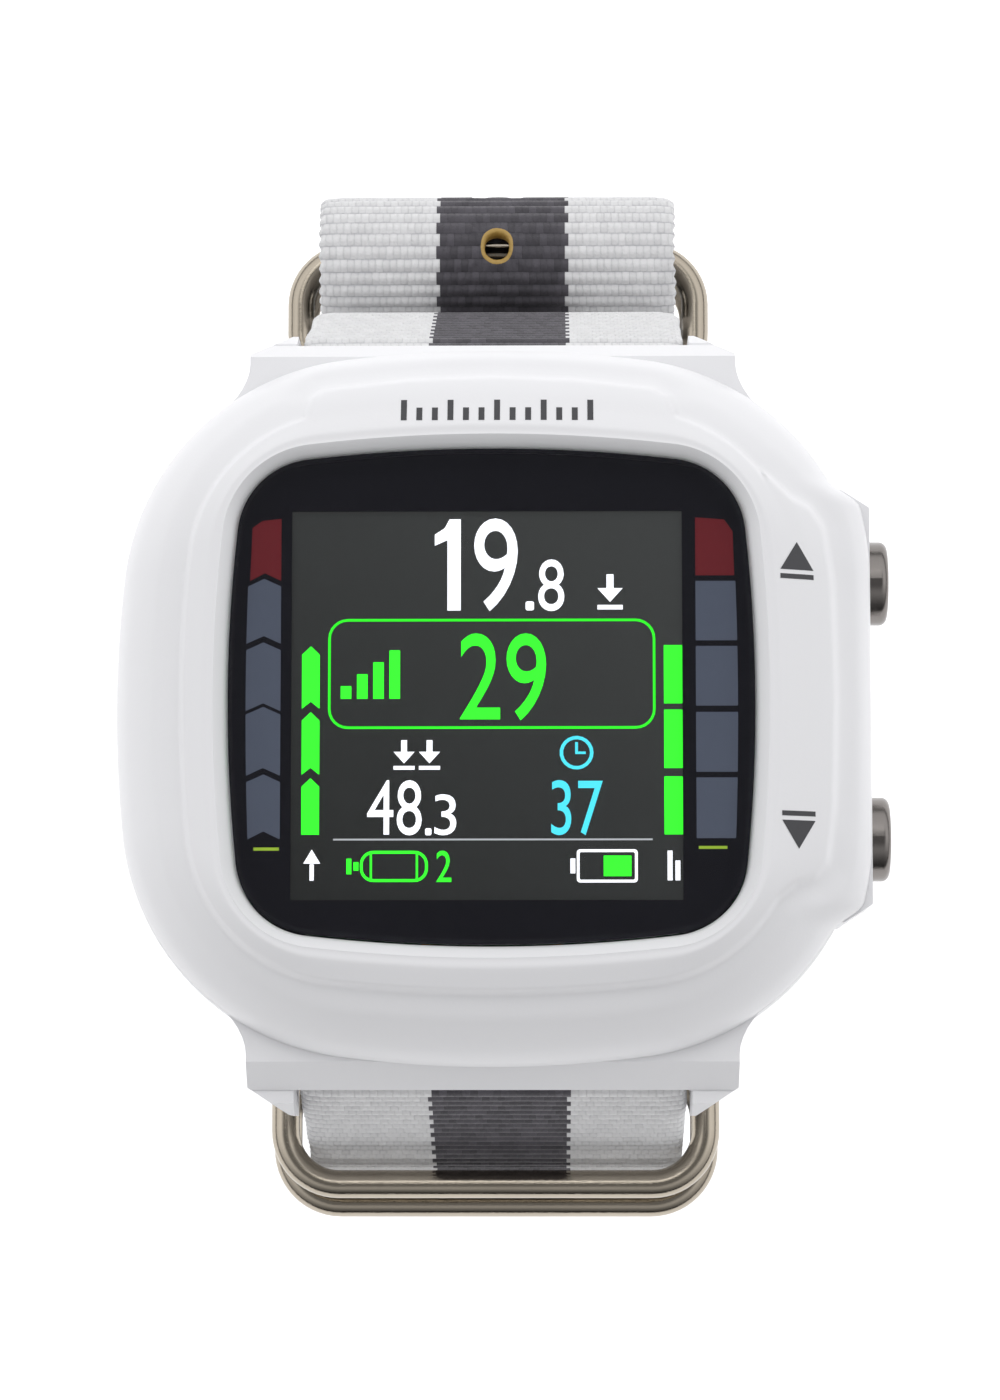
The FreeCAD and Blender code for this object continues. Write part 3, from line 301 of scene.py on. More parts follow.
def weave_group():
    """Bumps of a ribbed narrow webbing. The vector is across and along the band, in millimetres."""
    name = "Webbing weave"
    if name in bpy.data.node_groups:
        return bpy.data.node_groups[name]
    tree, entry, result = new_group(
        name,
        [("Vector", "NodeSocketVector", None), ("Row Pitch", "NodeSocketFloat", 0.94),
         ("Thread Width", "NodeSocketFloat", 0.56), ("Thread Depth", "NodeSocketFloat", 1.0)],
        ["Height", "Across", "Tone"])
    width = entry.outputs["Thread Width"]

    def sums(operation, *values):
        return maths(tree, operation, *values)

    def wave(count):
        return sums("ABSOLUTE", sums("SINE", sums("MULTIPLY", count, math.pi)))

    split = add_node(tree, "ShaderNodeSeparateXYZ", {0: entry.outputs["Vector"]})
    rows = sums("DIVIDE", split.outputs["Y"], entry.outputs["Row Pitch"])
    row = sums("FLOOR", rows)
    parity = sums("FLOORED_MODULO", row, 2.0)
    columns = sums("ADD", sums("DIVIDE", split.outputs["X"], width), sums("MULTIPLY", parity, 0.5))
    column = sums("FLOOR", columns)
    threads = sums("ADD", sums("POWER", wave(columns), 0.55), -1.0)
    threads = sums("MULTIPLY_ADD", threads, entry.outputs["Thread Depth"], 1.0)
    bump = sums("MULTIPLY", threads, sums("POWER", wave(rows), 0.6))
    cell = add_node(tree, "ShaderNodeCombineXYZ", {"X": column, "Y": row})
    random = add_node(tree, "ShaderNodeTexWhiteNoise", noise_dimensions="2D")
    feed(tree, random, {"Vector": cell.outputs[0]})
    fibre = add_node(tree, "ShaderNodeTexNoise", {
        "Vector": entry.outputs["Vector"], "Scale": 7.0, "Detail": 3.0})
    height = sums("ADD", bump, sums("MULTIPLY", fibre.outputs["Fac"], 0.35))
    height = sums("ADD", height, sums("MULTIPLY", random.outputs["Value"], 0.25))
    across = sums("MULTIPLY", sums("ADD", column, sums("MULTIPLY", parity, -0.5)), width)
    feed(tree, result, {"Height": height, "Across": across, "Tone": random.outputs["Value"]})
    return tree


def blank(name):
    material = bpy.data.materials.new(name)
    material.use_nodes = True
    return material, material.node_tree, material.node_tree.nodes["Principled BSDF"]


def shaded(tint, share=1.0):
    """A tint with all its parts multiplied, as a colour with alpha."""
    return tuple(c * share for c in tint) + (1.0,)


# A mix node has one pair of inputs for each kind of data. These numbers are its colours'.
MIX_A = 6
MIX_B = 7
MIX_RESULT = 2


def mix_colour(tree, factor, a, b, blend="MIX"):
    node = add_node(tree, "ShaderNodeMix", data_type="RGBA", blend_type=blend)
    feed(tree, node, {"Factor": factor, MIX_A: a, MIX_B: b})
    return node.outputs[MIX_RESULT]


def solid(name, tint, rough, metal=0.0, grain=0.0002, bump=0.1, cloud=0.06, stretch=(1.0, 1.0, 1.0),
          glow=0.0, coat=0.0):
    """A hard surface: its colour and gloss drift a little, and a fine grain breaks the shine."""
    if name in bpy.data.materials:
        return bpy.data.materials[name]
    material, tree, shader = blank(name)
    rough_spread = 0.1
    place = add_node(tree, "ShaderNodeTexCoord")
    effect = add_node(tree, "ShaderNodeGroup", node_tree=grain_group())
    feed(tree, effect, {"Grain Size": grain, "Cloud Size": 0.012, "Stretch": stretch,
                        "Vector": place.outputs["Object"]})
    light = tuple(min(1.0, c) for c in shaded(tint, 1.0 + cloud))
    tone = mix_colour(tree, effect.outputs["Cloud"], shaded(tint, 1.0 - cloud), light)
    gloss = maths(tree, "MULTIPLY_ADD", effect.outputs["Height"], rough_spread, rough - rough_spread / 2.0)
    relief = add_node(tree, "ShaderNodeBump", {
        "Strength": bump, "Distance": grain * 0.5, "Height": effect.outputs["Height"]})
    feed(tree, shader, {"Base Color": tone, "Roughness": gloss, "Metallic": metal, "IOR": 1.5,
                        "Coat Weight": coat, "Normal": relief.outputs["Normal"]})
    if glow:
        feed(tree, shader, {"Emission Color": tone, "Emission Strength": glow, "Specular IOR Level": 0.0})
    material.diffuse_color = shaded(tint)
    return material


def rubber():
    return solid("black_rubber_looks", (0.018, 0.018, 0.02), 0.7, grain=0.0004, bump=0.3)


def screw_steel():
    return solid("screw_steel", (0.55, 0.54, 0.52), 0.28, metal=1.0, grain=0.0001, bump=0.1,
                 stretch=(1.0, 6.0, 1.0))


def dark_plastic():
    return solid("dark_plastic_looks", (0.03, 0.03, 0.034), 0.4, bump=0.2)


def brass():
    return solid("sleeve_brass", (0.72, 0.56, 0.30), 0.3, metal=1.0, bump=0.08)


def glass():
    material, tree, shader = blank("clear_lens")
    feed(tree, shader, {"Base Color": (1.0, 1.0, 1.0, 1.0), "Roughness": 0.015, "Metallic": 0.0, "IOR": 1.17,
                        "Transmission Weight": 1.0})
    return material


def webbing(settings):
    """Woven bands of two colours, from the strap's own length and width coordinates, with painted shade in
    the hollows of the weave.
    """
    stripe_centre = 0.14
    stripe_share = 0.178
    material, tree, shader = blank("ribbed_webbing")
    place = add_node(tree, "ShaderNodeUVMap", uv_map="UVMap")
    weave = add_node(tree, "ShaderNodeGroup", node_tree=weave_group())
    feed(tree, weave, {"Row Pitch": RIB_PITCH, "Thread Width": settings.thread / MM, "Thread Depth": 0.6,
                       "Vector": place.outputs["UV"]})
    tone = weave.outputs["Tone"]
    centre = maths(tree, "ABSOLUTE", maths(tree, "ADD", weave.outputs["Across"], -stripe_centre))
    inside = maths(tree, "LESS_THAN", centre, settings.width / MM * stripe_share)
    white = mix_colour(tree, tone, shaded(settings.white, 0.93), shaded(settings.white))
    grey = mix_colour(tree, tone, shaded(settings.stripe, 0.72), shaded(settings.stripe, 1.2))
    yarn = mix_colour(tree, inside, white, grey)
    # Painted shade: the colour is darkened where the weave is low, standing in for the shade that falls
    # between the bumps.
    gap = maths(tree, "SMOOTH_MIN", maths(tree, "MULTIPLY", weave.outputs["Height"], 1.25), 1.0, 0.2)
    shade = mix_colour(tree, gap, (0.62, 0.62, 0.66, 1.0), (1.0, 1.0, 1.0, 1.0))
    relief = add_node(tree, "ShaderNodeBump", {
        "Strength": 0.9, "Distance": 0.00014, "Height": weave.outputs["Height"]})
    feed(tree, shader, {"Base Color": mix_colour(tree, 1.0, yarn, shade, "MULTIPLY"), "Roughness": 0.78,
                        "Sheen Weight": 0.15, "Normal": relief.outputs["Normal"]})
    return material


def panel_face(face):
    """The dark lit panel, with a painted reflection that makes it a little lighter towards its upper right
    corner.
    """
    material, tree, shader = blank("panel_face")
    place = add_node(tree, "ShaderNodeTexCoord")
    split = add_node(tree, "ShaderNodeSeparateXYZ", {0: place.outputs["Object"]})
    # Painted reflection: this drift is a ramp that lightens the panel towards its upper right, standing in
    # for light mirrored in the glass above it.
    drift = maths(tree, "ADD", maths(tree, "MULTIPLY", split.outputs["X"], 14.0),
                  maths(tree, "MULTIPLY", split.outputs["Y"], 20.0))
    drift = maths(tree, "ADD", drift, 0.5)
    drift = maths(tree, "MINIMUM", maths(tree, "MAXIMUM", drift, 0.0), 1.0)
    tone = mix_colour(tree, drift, shaded(face, 0.75), shaded(face, 1.7))
    feed(tree, shader, {"Base Color": tone, "Emission Color": tone, "Emission Strength": 1.0,
                        "Roughness": 0.8, "Specular IOR Level": 0.0})
    return material


def cover(mesh, material):
    """Gives a whole mesh one material."""
    mesh.materials.clear()
    mesh.materials.append(material)
    for polygon in mesh.polygons:
        polygon.material_index = 0


def paint(node, material):
    cover(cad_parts[node].data, material)


def stand_in(piece, node):
    """Puts a piece of the case's body in a node's place and hides the node."""
    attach(piece, "computer")
    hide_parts(node)


def shortening_coil(node, body, material):
    """A coil in place of a spring node: a copy of it with the given material, which moves with a body."""
    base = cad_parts[node]
    coil = bpy.data.objects.new(node + "_coil", base.data.copy())
    bpy.context.scene.collection.objects.link(coil)
    coil.matrix_world = base.matrix_world.copy()
    cover(coil.data, material)
    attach(coil, body)
    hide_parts(node)
    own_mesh(coil)


# ---- the bezel ------------------------------------------------------------------------------
# Outlines of the bezel from the part line up: half width, half height, side radius, corner radius, level.
BEZEL_LEVELS = [
    (27.0, 25.8, 88, 18.0, 61.02), (26.75, 25.55, 88, 17.8, 62.1), (26.0, 24.8, 88, 17.0, 63.6),
    (24.5, 23.3, 90, 15.4, 65.3), (23.1, 21.9, 93, 13.2, 66.45), (21.7, 20.5, 96, 11.0, 67.15),
    (20.4, 19.35, 104, 8.6, 67.72), (19.55, 18.5, 110, 6.9, 68.0)]
GLASS_EDGE = (18.67, 17.67, 110, 5.75)
GUARD_X = 27.15
GUARD_Y = 14.9
TOP_Z = 68.0
SEAT_Z = 62.5
FOOT_Z = 61.04
# The glass opening from the top down: how far outside the glass edge, how far below the top.
OPENING = [(0.30, 0.22), (0.04, 0.62), (0.0, 0.9), (0.0, 3.0)]
INNER_RIM = (21.9, 20.9, 96, 11.5)
BROW = [(-14.3, 17.0), (-13.2, 19.9), (-12.9, 21.4), (-12.2, 22.1), (-6.0, 22.85), (0.0, 23.1), (6.0, 22.85),
        (11.5, 22.2), (12.4, 21.6), (12.9, 20.2), (14.5, 17.0)]
CHEEK = [(19.2, 16.0), (21.2, 14.2), (22.6, 13.6), (23.6, 12.2), (24.2, 8.0), (24.4, 0.0), (24.2, -8.0),
         (23.7, -11.8), (22.8, -12.8), (21.4, -13.3), (19.2, -15.0)]


def smooth(value):
    value = min(1.0, max(0.0, value))
    return value * value * (3.0 - 2.0 * value)


class Barrel:
    """A rectangle with bowed sides and round corners, centred on the origin."""

    def __init__(self, hx, hy, side_r, corner_r):
        self.corner_r = corner_r
        self.reach = side_r - corner_r
        self.ax = hx - side_r
        self.ay = hy - side_r
        low, high = 0.0, hx - corner_r
        for _ in range(50):
            self.px = (low + high) / 2.0
            self.py = math.sqrt(max(0.0, self.reach ** 2 - (self.px - self.ax) ** 2))
            if math.hypot(self.px, self.py - self.ay) > self.reach:
                low = self.px
            else:
                high = self.px

    def gap(self, x, y):
        """Distance outside the outline; less than nothing inside."""
        x, y = abs(x), abs(y)
        if (self.px - self.ax) * y - self.py * (x - self.ax) <= 0:
            away = math.hypot(x - self.ax, y) - self.reach
        elif (self.py - self.ay) * x - self.px * (y - self.ay) <= 0:
            away = math.hypot(x, y - self.ay) - self.reach
        else:
            away = math.hypot(x - self.px, y - self.py)
        return away - self.corner_r

    def radius(self, angle):
        low, high = 5.0, 60.0
        for _ in range(34):
            mid = (low + high) / 2.0
            if self.gap(mid * math.cos(angle), mid * math.sin(angle)) > 0:
                high = mid
            else:
                low = mid
        return low


def polygon_gap(points, x, y):
    """Distance outside a polygon; less than nothing inside."""
    best = 1e9
    inside = False
    for i, (x0, y0) in enumerate(points):
        x1, y1 = points[i - 1]
        ex, ey = x1 - x0, y1 - y0
        share = min(1.0, max(0.0, ((x - x0) * ex + (y - y0) * ey) / (ex * ex + ey * ey)))
        best = min(best, math.hypot(x - x0 - ex * share, y - y0 - ey * share))
        if (y0 > y) != (y1 > y) and x < ex * (y - y0) / ey + x0:
            inside = not inside
    return -best if inside else best


def bezel(name, settings, material):
    """The moulded top of the case: dome, soft channel, raised inner rim with its plates, glass opening."""
    turns = 480
    between = 9
    angles = [2.0 * math.pi * i / turns for i in range(turns)]
    radii = [[Barrel(*level[:4]).radius(a) for a in angles] for level in BEZEL_LEVELS]
    edge = [Barrel(*GLASS_EDGE).radius(a) for a in angles]
    rim = Barrel(*INNER_RIM)
    pad, valley = settings.pad / MM, settings.valley / MM
    heights = [level[4] for level in BEZEL_LEVELS]
    last = len(BEZEL_LEVELS) - 1
    half_x, side_r = BEZEL_LEVELS[0][0], BEZEL_LEVELS[0][2]
    rings = []

    def spline(values, k, t):
        a, b, c, d = (values[max(0, min(last, k + n))] for n in (-1, 0, 1, 2))
        square = 2 * a - 5 * b + 4 * c - d
        cube = 3 * b - a - 3 * c + d
        return 0.5 * (2 * b + (c - a) * t + square * t * t + cube * t ** 3)

    def relief(x, y):
        away = min(rim.gap(x, y), polygon_gap(BROW, x, y), polygon_gap(CHEEK, x, y))
        rise = pad * (1.0 - smooth((away + 0.3) / 0.55))
        dip = valley * smooth((away + 0.2) / 0.5) * (1.0 - smooth((away - 0.5) / 1.7))
        return rise - dip

    for k in range(last):
        for step in range(between if k < last - 1 else between + 1):
            t = step / between
            ring = []
            for i, angle in enumerate(angles):
                radius = spline([level[i] for level in radii], k, t)
                x, y, z = radius * math.cos(angle), radius * math.sin(angle), spline(heights, k, t)
                if x > 0:
                    side = half_x - side_r + math.sqrt(side_r ** 2 - y * y)
                    weight = smooth((GUARD_Y + 1.3 - abs(y)) / 2.0) * (1.0 - smooth((z - 61.5) / 5.0))
                    x += weight * max(0.0, GUARD_X - side)
                share = smooth((z - 62.5) / 2.0) * (1.0 - smooth((z - 67.75) / 0.25) * 0.6)
                ring.append((x, y, z + relief(x, y) * share))
            rings.append(ring)
    def level_ring(outline, shift, z):
        return [((r + shift) * math.cos(a), (r + shift) * math.sin(a), z) for r, a in zip(outline, angles)]

    rings += [level_ring(edge, shift, TOP_Z - drop) for shift, drop in OPENING]
    rings += [level_ring(edge, 3.5, SEAT_Z), level_ring(radii[0], -0.8, FOOT_Z)]
    verts = [corner for ring in rings for corner in ring]
    faces = []
    for r in range(len(rings)):
        n = (r + 1) % len(rings)
        for i in range(turns):
            j = (i + 1) % turns
            faces.append([r * turns + i, r * turns + j, n * turns + j, n * turns + i])
    obj = add_object(name, verts, faces, material)
    obj.data.set_sharp_from_angle(angle=math.radians(40.0))
    tree = BVHTree.FromPolygons(verts, faces)

    def height(x, y):
        """Top of the bezel above a point."""
        return tree.ray_cast(Vector((x, y, 90.0)), Vector((0.0, 0.0, -1.0)))[0].z
    return obj, height


# ---- the webbing's route --------------------------------------------------------------------
# Side view of each band's middle line: (y, z, bend radius) in millimetres.
MAIN_ROUTE = [
    (31.4, 21.8, 0), (31.4, 19.3, 1.5), (28.6, 15.6, 1.5), (28.6, 12.55, 2.0), (32.7, 12.55, 2.0),
    (32.7, 40, 20), (26.95, 56.35, 1.73), (23.85, 56.35, 1.73), (23.85, 50.05, 1), (-23.85, 50.05, 1),
    (-23.85, 56.35, 1.73), (-26.95, 56.35, 1.73), (-32.7, 40, 20), (-32.7, 0.6, 15), (25.4, 0.6, 10),
    (34.3, 13.31, 5), (34.3, 36.3, 4.49), (43.3, 36.3, 4.49), (43.3, 29.875, 3), (36.1, 24.835, 3),
    (36.1, 19, 0)]
SHORT_ROUTE = [
    (31.4, 33.6, 0), (31.4, 40, 12), (27.4, 48.5, 5), (-25.75, 48.5, 2.2), (-25.75, 42.6, 1.88),
    (-21.95, 42.6, 1.88), (-21.95, 47.2, 1.2), (-13.0, 47.2, 0)]
BAR_SPRING_END = 1.03
HOLE_PITCH = 7.5
CROSS_HEIGHT = 9.7
RIB_PITCH = HOLE_PITCH / 8.0
STEP = RIB_PITCH / 4.0
HOLE_R = 1.0
INNER_X = 2.1
SIDE_COLUMNS = [1.0, 0.975, 0.9, 0.77, 0.62, 0.47, 0.32]
# Rings of corners round a hole, inward: distance outside its edge, height above the webbing or None.
HOLE_RINGS = [(0.55, None), (0.3, 0.02), (0.12, 0.01), (0.0, -0.12)]
FIRST_RIM_RING = 2
# How many rows of the grid a hole and the tongue's slot take up, to each side of their centres.
HOLE_REACH = 8
SLOT_REACH = 13


class Route:
    """Lines and bends through corner points, measured by distance along."""

    def __init__(self, points):
        self.pieces = []
        last = points[0][:2]
        for a, b, c in zip(points, points[1:], points[2:]):
            ua = Vector((b[0] - a[0], b[1] - a[1])).normalized()
            uc = Vector((c[0] - b[0], c[1] - b[1])).normalized()
            turn = math.atan2(ua.x * uc.y - ua.y * uc.x, ua.dot(uc))
            reach = b[2] * math.tan(abs(turn) / 2.0)
            start = (b[0] - ua.x * reach, b[1] - ua.y * reach)
            side = 1.0 if turn > 0 else -1.0
            centre = (start[0] - ua.y * b[2] * side, start[1] + ua.x * b[2] * side)
            begin = math.atan2(start[1] - centre[1], start[0] - centre[0])
            if math.dist(start, last) > 1e-4:
                self.pieces.append(("line", last, start, math.dist(start, last)))
            self.pieces.append(("arc", centre, (b[2], begin, turn), abs(turn) * b[2]))
            last = (b[0] + uc.x * reach, b[1] + uc.y * reach)
        end = points[-1][:2]
        self.pieces.append(("line", last, end, math.dist(last, end)))
        self.length = sum(piece[3] for piece in self.pieces)

    def at(self, distance, shift=0.0):
        """(y, z) at a distance along, moved to the left of travel by shift."""
        for piece in self.pieces:
            if distance <= piece[3] or piece is self.pieces[-1]:
                break
            distance -= piece[3]
        share = distance / piece[3]
        if piece[0] == "line":
            a, b = piece[1], piece[2]
            return (a[0] + (b[0] - a[0]) * share - (b[1] - a[1]) / piece[3] * shift,
                    a[1] + (b[1] - a[1]) * share + (b[0] - a[0]) / piece[3] * shift)
        radius, begin, turn = piece[2]
        radius -= shift if turn > 0 else -shift
        angle = begin + turn * share
        return (piece[1][0] + radius * math.cos(angle), piece[1][1] + radius * math.sin(angle))

    def distance_at(self, test):
        """First distance at which test(y, z, rise) holds."""
        stride = 0.05
        s = 0.0
        while s < self.length:
            y, z = self.at(s)
            if test(y, z, self.at(s + stride)[1] - z):
                return s
            s += stride
        raise RuntimeError("the route never meets the asked place")


def round_hole(centre):
    """Places the corners round a slightly ragged hole."""
    def place(x, along, grow):
        angle = math.atan2(along, x)
        about = Vector((math.cos(angle), math.sin(angle), 0.0))
        ragged = 0.06 * noise.noise(about * 1.7 + Vector((0.0, 0.0, centre)))
        radius = HOLE_R + grow + ragged
        return radius * math.cos(angle), radius * math.sin(angle)
    return place


def long_hole(radius, stretch):
    """Places the corners round a slot with round ends."""
    def place(x, along, grow):
        straight = max(-stretch, min(stretch, along))
        away = Vector((x, along - straight)).normalized() * (radius + grow)
        return away.x, away.y + straight
    return place


class Band:
    """Webbing along a route: columns run across and rows along it, on both faces."""

    def __init__(self, route, half_width, thickness, rib, phase):
        self.route, self.half_width, self.rib, self.phase = route, half_width, rib, phase
        self.half = thickness / 2.0
        self.wide = half_width(route.length / 2.0)
        self.verts, self.uvs, self.faces, self.rim_faces = [], [], [], []
        sides = [share * self.wide for share in SIDE_COLUMNS]
        self.columns = [-x for x in sides] + [INNER_X * (-1 + i / 4.0) for i in range(9)] + sides[::-1]
        first = int(math.ceil((0.0 - phase) / STEP))
        last = int(math.floor((route.length - phase) / STEP))
        self.stations = [phase + STEP * i for i in range(first, last + 1)]
        if self.stations[0] > 0.06:
            self.stations.insert(0, 0.0)
        if self.stations[-1] < route.length - 0.06:
            self.stations.append(route.length)
        self.grids = {side: [self.row(s, side) for s in self.stations] for side in (1.0, -1.0)}

    def put(self, x, s, level, side):
        """level is how far out of the middle plane, side which face."""
        y, z = self.route.at(s, side * level)
        self.verts.append((x, y, z))
        self.uvs.append((x, s - self.phase))
        return len(self.verts) - 1

    def surface(self, x, s, side):
        """How far the ribbed face stands out of the middle plane."""
        rise = abs(math.sin(math.pi * (s - self.phase) / RIB_PITCH)) ** 0.7
        wobble = 0.025 * noise.noise(Vector((x * 0.6, s * 0.5, side * 9.0)))
        return self.half - self.rib + self.rib * rise + wobble

    def row(self, s, side):
        """Corners across the band. Its outer part follows the width, with a wavy edge."""
        line = []
        for x in self.columns:
            share = abs(x) / self.wide
            here = x
            if share > 0.3:
                turn = math.pi * (s - self.phase) / RIB_PITCH * 2.0
                edge = self.half_width(s) + 0.10 * math.sin(turn + (1.5 if x > 0 else 0.0))
                edge += 0.16 * noise.noise(Vector((s * 0.22, 5.0 if x > 0 else -5.0, 0.0)))
                here = x + math.copysign((share - 0.3) / 0.7, x) * (edge - self.wide)
            level = self.surface(x, s, side)
            if share > 0.99:
                level *= 0.35
            elif share > 0.97:
                level *= 0.8
            line.append(self.put(here, s, level, side))
        return line

    def face(self, corners, outward):
        self.faces.append(corners if outward else corners[::-1])

    def skin(self, blocked):
        """Both faces without the blocked cells, then the long edges and the ends."""
        top, bottom = self.grids[1.0], self.grids[-1.0]
        rows, columns = len(self.stations), len(self.columns)
        for side, grid in self.grids.items():
            for r in range(rows - 1):
                for c in range(columns - 1):
                    if (r, c) not in blocked:
                        self.face([grid[r][c], grid[r][c + 1], grid[r + 1][c + 1], grid[r + 1][c]], side > 0)
        for r in range(rows - 1):
            for c in (0, columns - 1):
                self.face([top[r][c], top[r + 1][c], bottom[r + 1][c], bottom[r][c]], c == 0)
        for r in (0, rows - 1):
            for c in range(columns - 1):
                self.face([top[r][c], bottom[r][c], bottom[r][c + 1], top[r][c + 1]], r == 0)

    def hole(self, low, high, left, right, centre, place):
        """Rings of corners from a gap in the grid to the hole's edge, and the wall through it."""
        border = [(low, c) for c in range(left, right)] + [(r, right) for r in range(low, high)]
        border += [(high, c) for c in range(right, left, -1)] + [(r, left) for r in range(high, low, -1)]
        inner_rings = {}
        for side, grid in self.grids.items():
            shells = [[grid[r][c] for r, c in border]]
            for grow, stand in HOLE_RINGS:
                shell = []
                for r, c in border:
                    x, along = place(self.columns[c], self.stations[r] - centre, grow)
                    s = centre + along
                    level = self.surface(x, s, side) if stand is None else self.half + stand
                    shell.append(self.put(x, s, level, side))
                shells.append(shell)
            inner_rings[side] = shells[-1]
            for k, (outer, inner) in enumerate(zip(shells, shells[1:])):
                for i in range(len(outer)):
                    j = (i + 1) % len(outer)
                    if k >= FIRST_RIM_RING:
                        self.rim_faces.append(len(self.faces))
                    self.face([outer[i], outer[j], inner[j], inner[i]], side > 0)
        top, bottom = inner_rings[1.0], inner_rings[-1.0]
        for i in range(len(top)):
            j = (i + 1) % len(top)
            self.rim_faces.append(len(self.faces))
            self.faces.append([top[i], top[j], bottom[j], bottom[i]])


def band(name, route, half_width, thickness, rib, material, holes=(), phase=0.0, rim=None):
    """Mesh of a webbing band. holes has a centre, a reach in rows and a corner placer for each."""
    cloth = Band(route, half_width, thickness, rib, phase)
    left = len(SIDE_COLUMNS)
    right = left + 8
    gaps = []
    blocked = set()
    for centre, reach, place in holes:
        near = min(range(len(cloth.stations)), key=lambda i: abs(cloth.stations[i] - centre))
        gaps.append((near - reach, near + reach, left, right, centre, place))
        blocked.update((r, c) for r in range(near - reach, near + reach) for c in range(left, right))
    cloth.skin(blocked)
    for gap in gaps:
        cloth.hole(*gap)
    obj = add_object(name, cloth.verts, cloth.faces, material, uvs=cloth.uvs)
    if rim is not None:
        obj.data.materials.append(rim)
        for index in cloth.rim_faces:
            obj.data.polygons[index].material_index = 1
    return obj


def tail_width(wide, total, radius):
    """Half width along a band whose far end has round corners."""
    def width(s):
        past = s - (total - radius)
        if past <= 0:
            return wide
        return wide - radius + math.sqrt(max(0.0, radius * radius - past * past))
    return width


def stitches(name, places, material, body):
    """Short round stitches. places holds (x, y, z, direction, normal) of each, in millimetres."""
    points = bpy.data.meshes.new(name + "_points")
    points.from_pydata([Vector(p[:3]) * MM for p in places], [], [])
    turn = points.attributes.new("turn", "FLOAT_VECTOR", "POINT")
    for i, place in enumerate(places):
        along = Vector(place[3]).normalized()
        up = Vector(place[4]).normalized()
        basis = Matrix((along, up.cross(along), up)).transposed()
        turn.data[i].vector = Vector(basis.to_euler())
    tree = bpy.data.node_groups.new(name + "_nodes", "GeometryNodeTree")
    tree.interface.new_socket("Geometry", in_out="INPUT", socket_type="NodeSocketGeometry")
    for label, value in (("Stitch Length", 0.0019), ("Thread Radius", 0.00018)):
        socket = tree.interface.new_socket(label, in_out="INPUT", socket_type="NodeSocketFloat")
        socket.default_value = value
    tree.interface.new_socket("Geometry", in_out="OUTPUT", socket_type="NodeSocketGeometry")
    entry = add_node(tree, "NodeGroupInput")
    result = add_node(tree, "NodeGroupOutput")
    thread = entry.outputs["Thread Radius"]
    ball = add_node(tree, "GeometryNodeMeshUVSphere", {"Segments": 8, "Rings": 6, "Radius": 1.0})
    half = maths(tree, "MULTIPLY", entry.outputs["Stitch Length"], 0.5)
    size = add_node(tree, "ShaderNodeCombineXYZ", {"X": half, "Y": thread, "Z": thread})
    shape = add_node(tree, "GeometryNodeTransform", {
        "Geometry": ball.outputs["Mesh"], "Scale": size.outputs[0]})
    heading = add_node(tree, "GeometryNodeInputNamedAttribute", data_type="FLOAT_VECTOR")
    feed(tree, heading, {"Name": "turn"})
    to_turn = add_node(tree, "FunctionNodeEulerToRotation", {0: heading.outputs["Attribute"]})
    spread = add_node(tree, "GeometryNodeInstanceOnPoints", {
        "Points": entry.outputs["Geometry"], "Instance": shape.outputs["Geometry"],
        "Rotation": to_turn.outputs[0]})
    real = add_node(tree, "GeometryNodeRealizeInstances", {"Geometry": spread.outputs["Instances"]})
    round_off = add_node(tree, "GeometryNodeSetShadeSmooth", {"Geometry": real.outputs["Geometry"]})
    dress = add_node(tree, "GeometryNodeSetMaterial", {
        "Geometry": round_off.outputs["Geometry"], "Material": material})
    feed(tree, result, {"Geometry": dress.outputs["Geometry"]})
    holder = bpy.data.objects.new(name + "_source", points)
    holder.modifiers.new("stitches", "NODES").node_group = tree
    obj = settle(holder, name, body)
    if not obj.data.materials:
        obj.data.materials.append(material)


# ---- operators ------------------------------------------------------------------------------
class DIVE_OT_shell(bpy.types.Operator):
    """Moulded case: bezel, middle and back, with their screws and port"""
    bl_idname = "dive.shell"
    bl_label = "Shell"

    def execute(self, context):
        look = context.scene.dive_shell
        white = solid("white_shell_looks", tuple(look.white), 0.42, grain=look.grain, bump=0.05, cloud=0.012)
        paint("mid_case", white)
        top, height = bezel("bezel_shell", look, white)
        stand_in(top, "front_bezel")
        grey = solid("mark_grey", (0.045, 0.045, 0.05), 0.5, bump=0.05, cloud=0.04)
        marks = [[(20.35, 8.85), (22.75, 8.85), (21.55, 10.85)], rect(20.35, 8.2, 22.75, 8.55)]
        marks += [[(x, -y) for x, y in reversed(mark)] for mark in marks]
        marks += [rect(x, 19.5, x + 0.42, 20.5 + (0.6 if i % 3 == 0 else 0.0))
                  for i, x in enumerate([-6.4 + 1.1 * n for n in range(13)])]
        for i, mark in enumerate(marks):
            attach(drape("shell_mark_%02d" % i, mark, height, grey), "computer")
        back = solid("grey_back_looks", (0.30, 0.31, 0.33), 0.45, grain=0.0003, bump=0.2, cloud=0.04)
        paint("case_back", back)
        paint("back_screws", screw_steel())
        paint("sensor_grille", screw_steel())
        paint("back_gasket", rubber())
        paint("charging_block", dark_plastic())
        paint("charging_contacts", solid("gold_pin_looks", (0.83, 0.60, 0.22), 0.22, metal=1.0, bump=0.05))
        return {"FINISHED"}


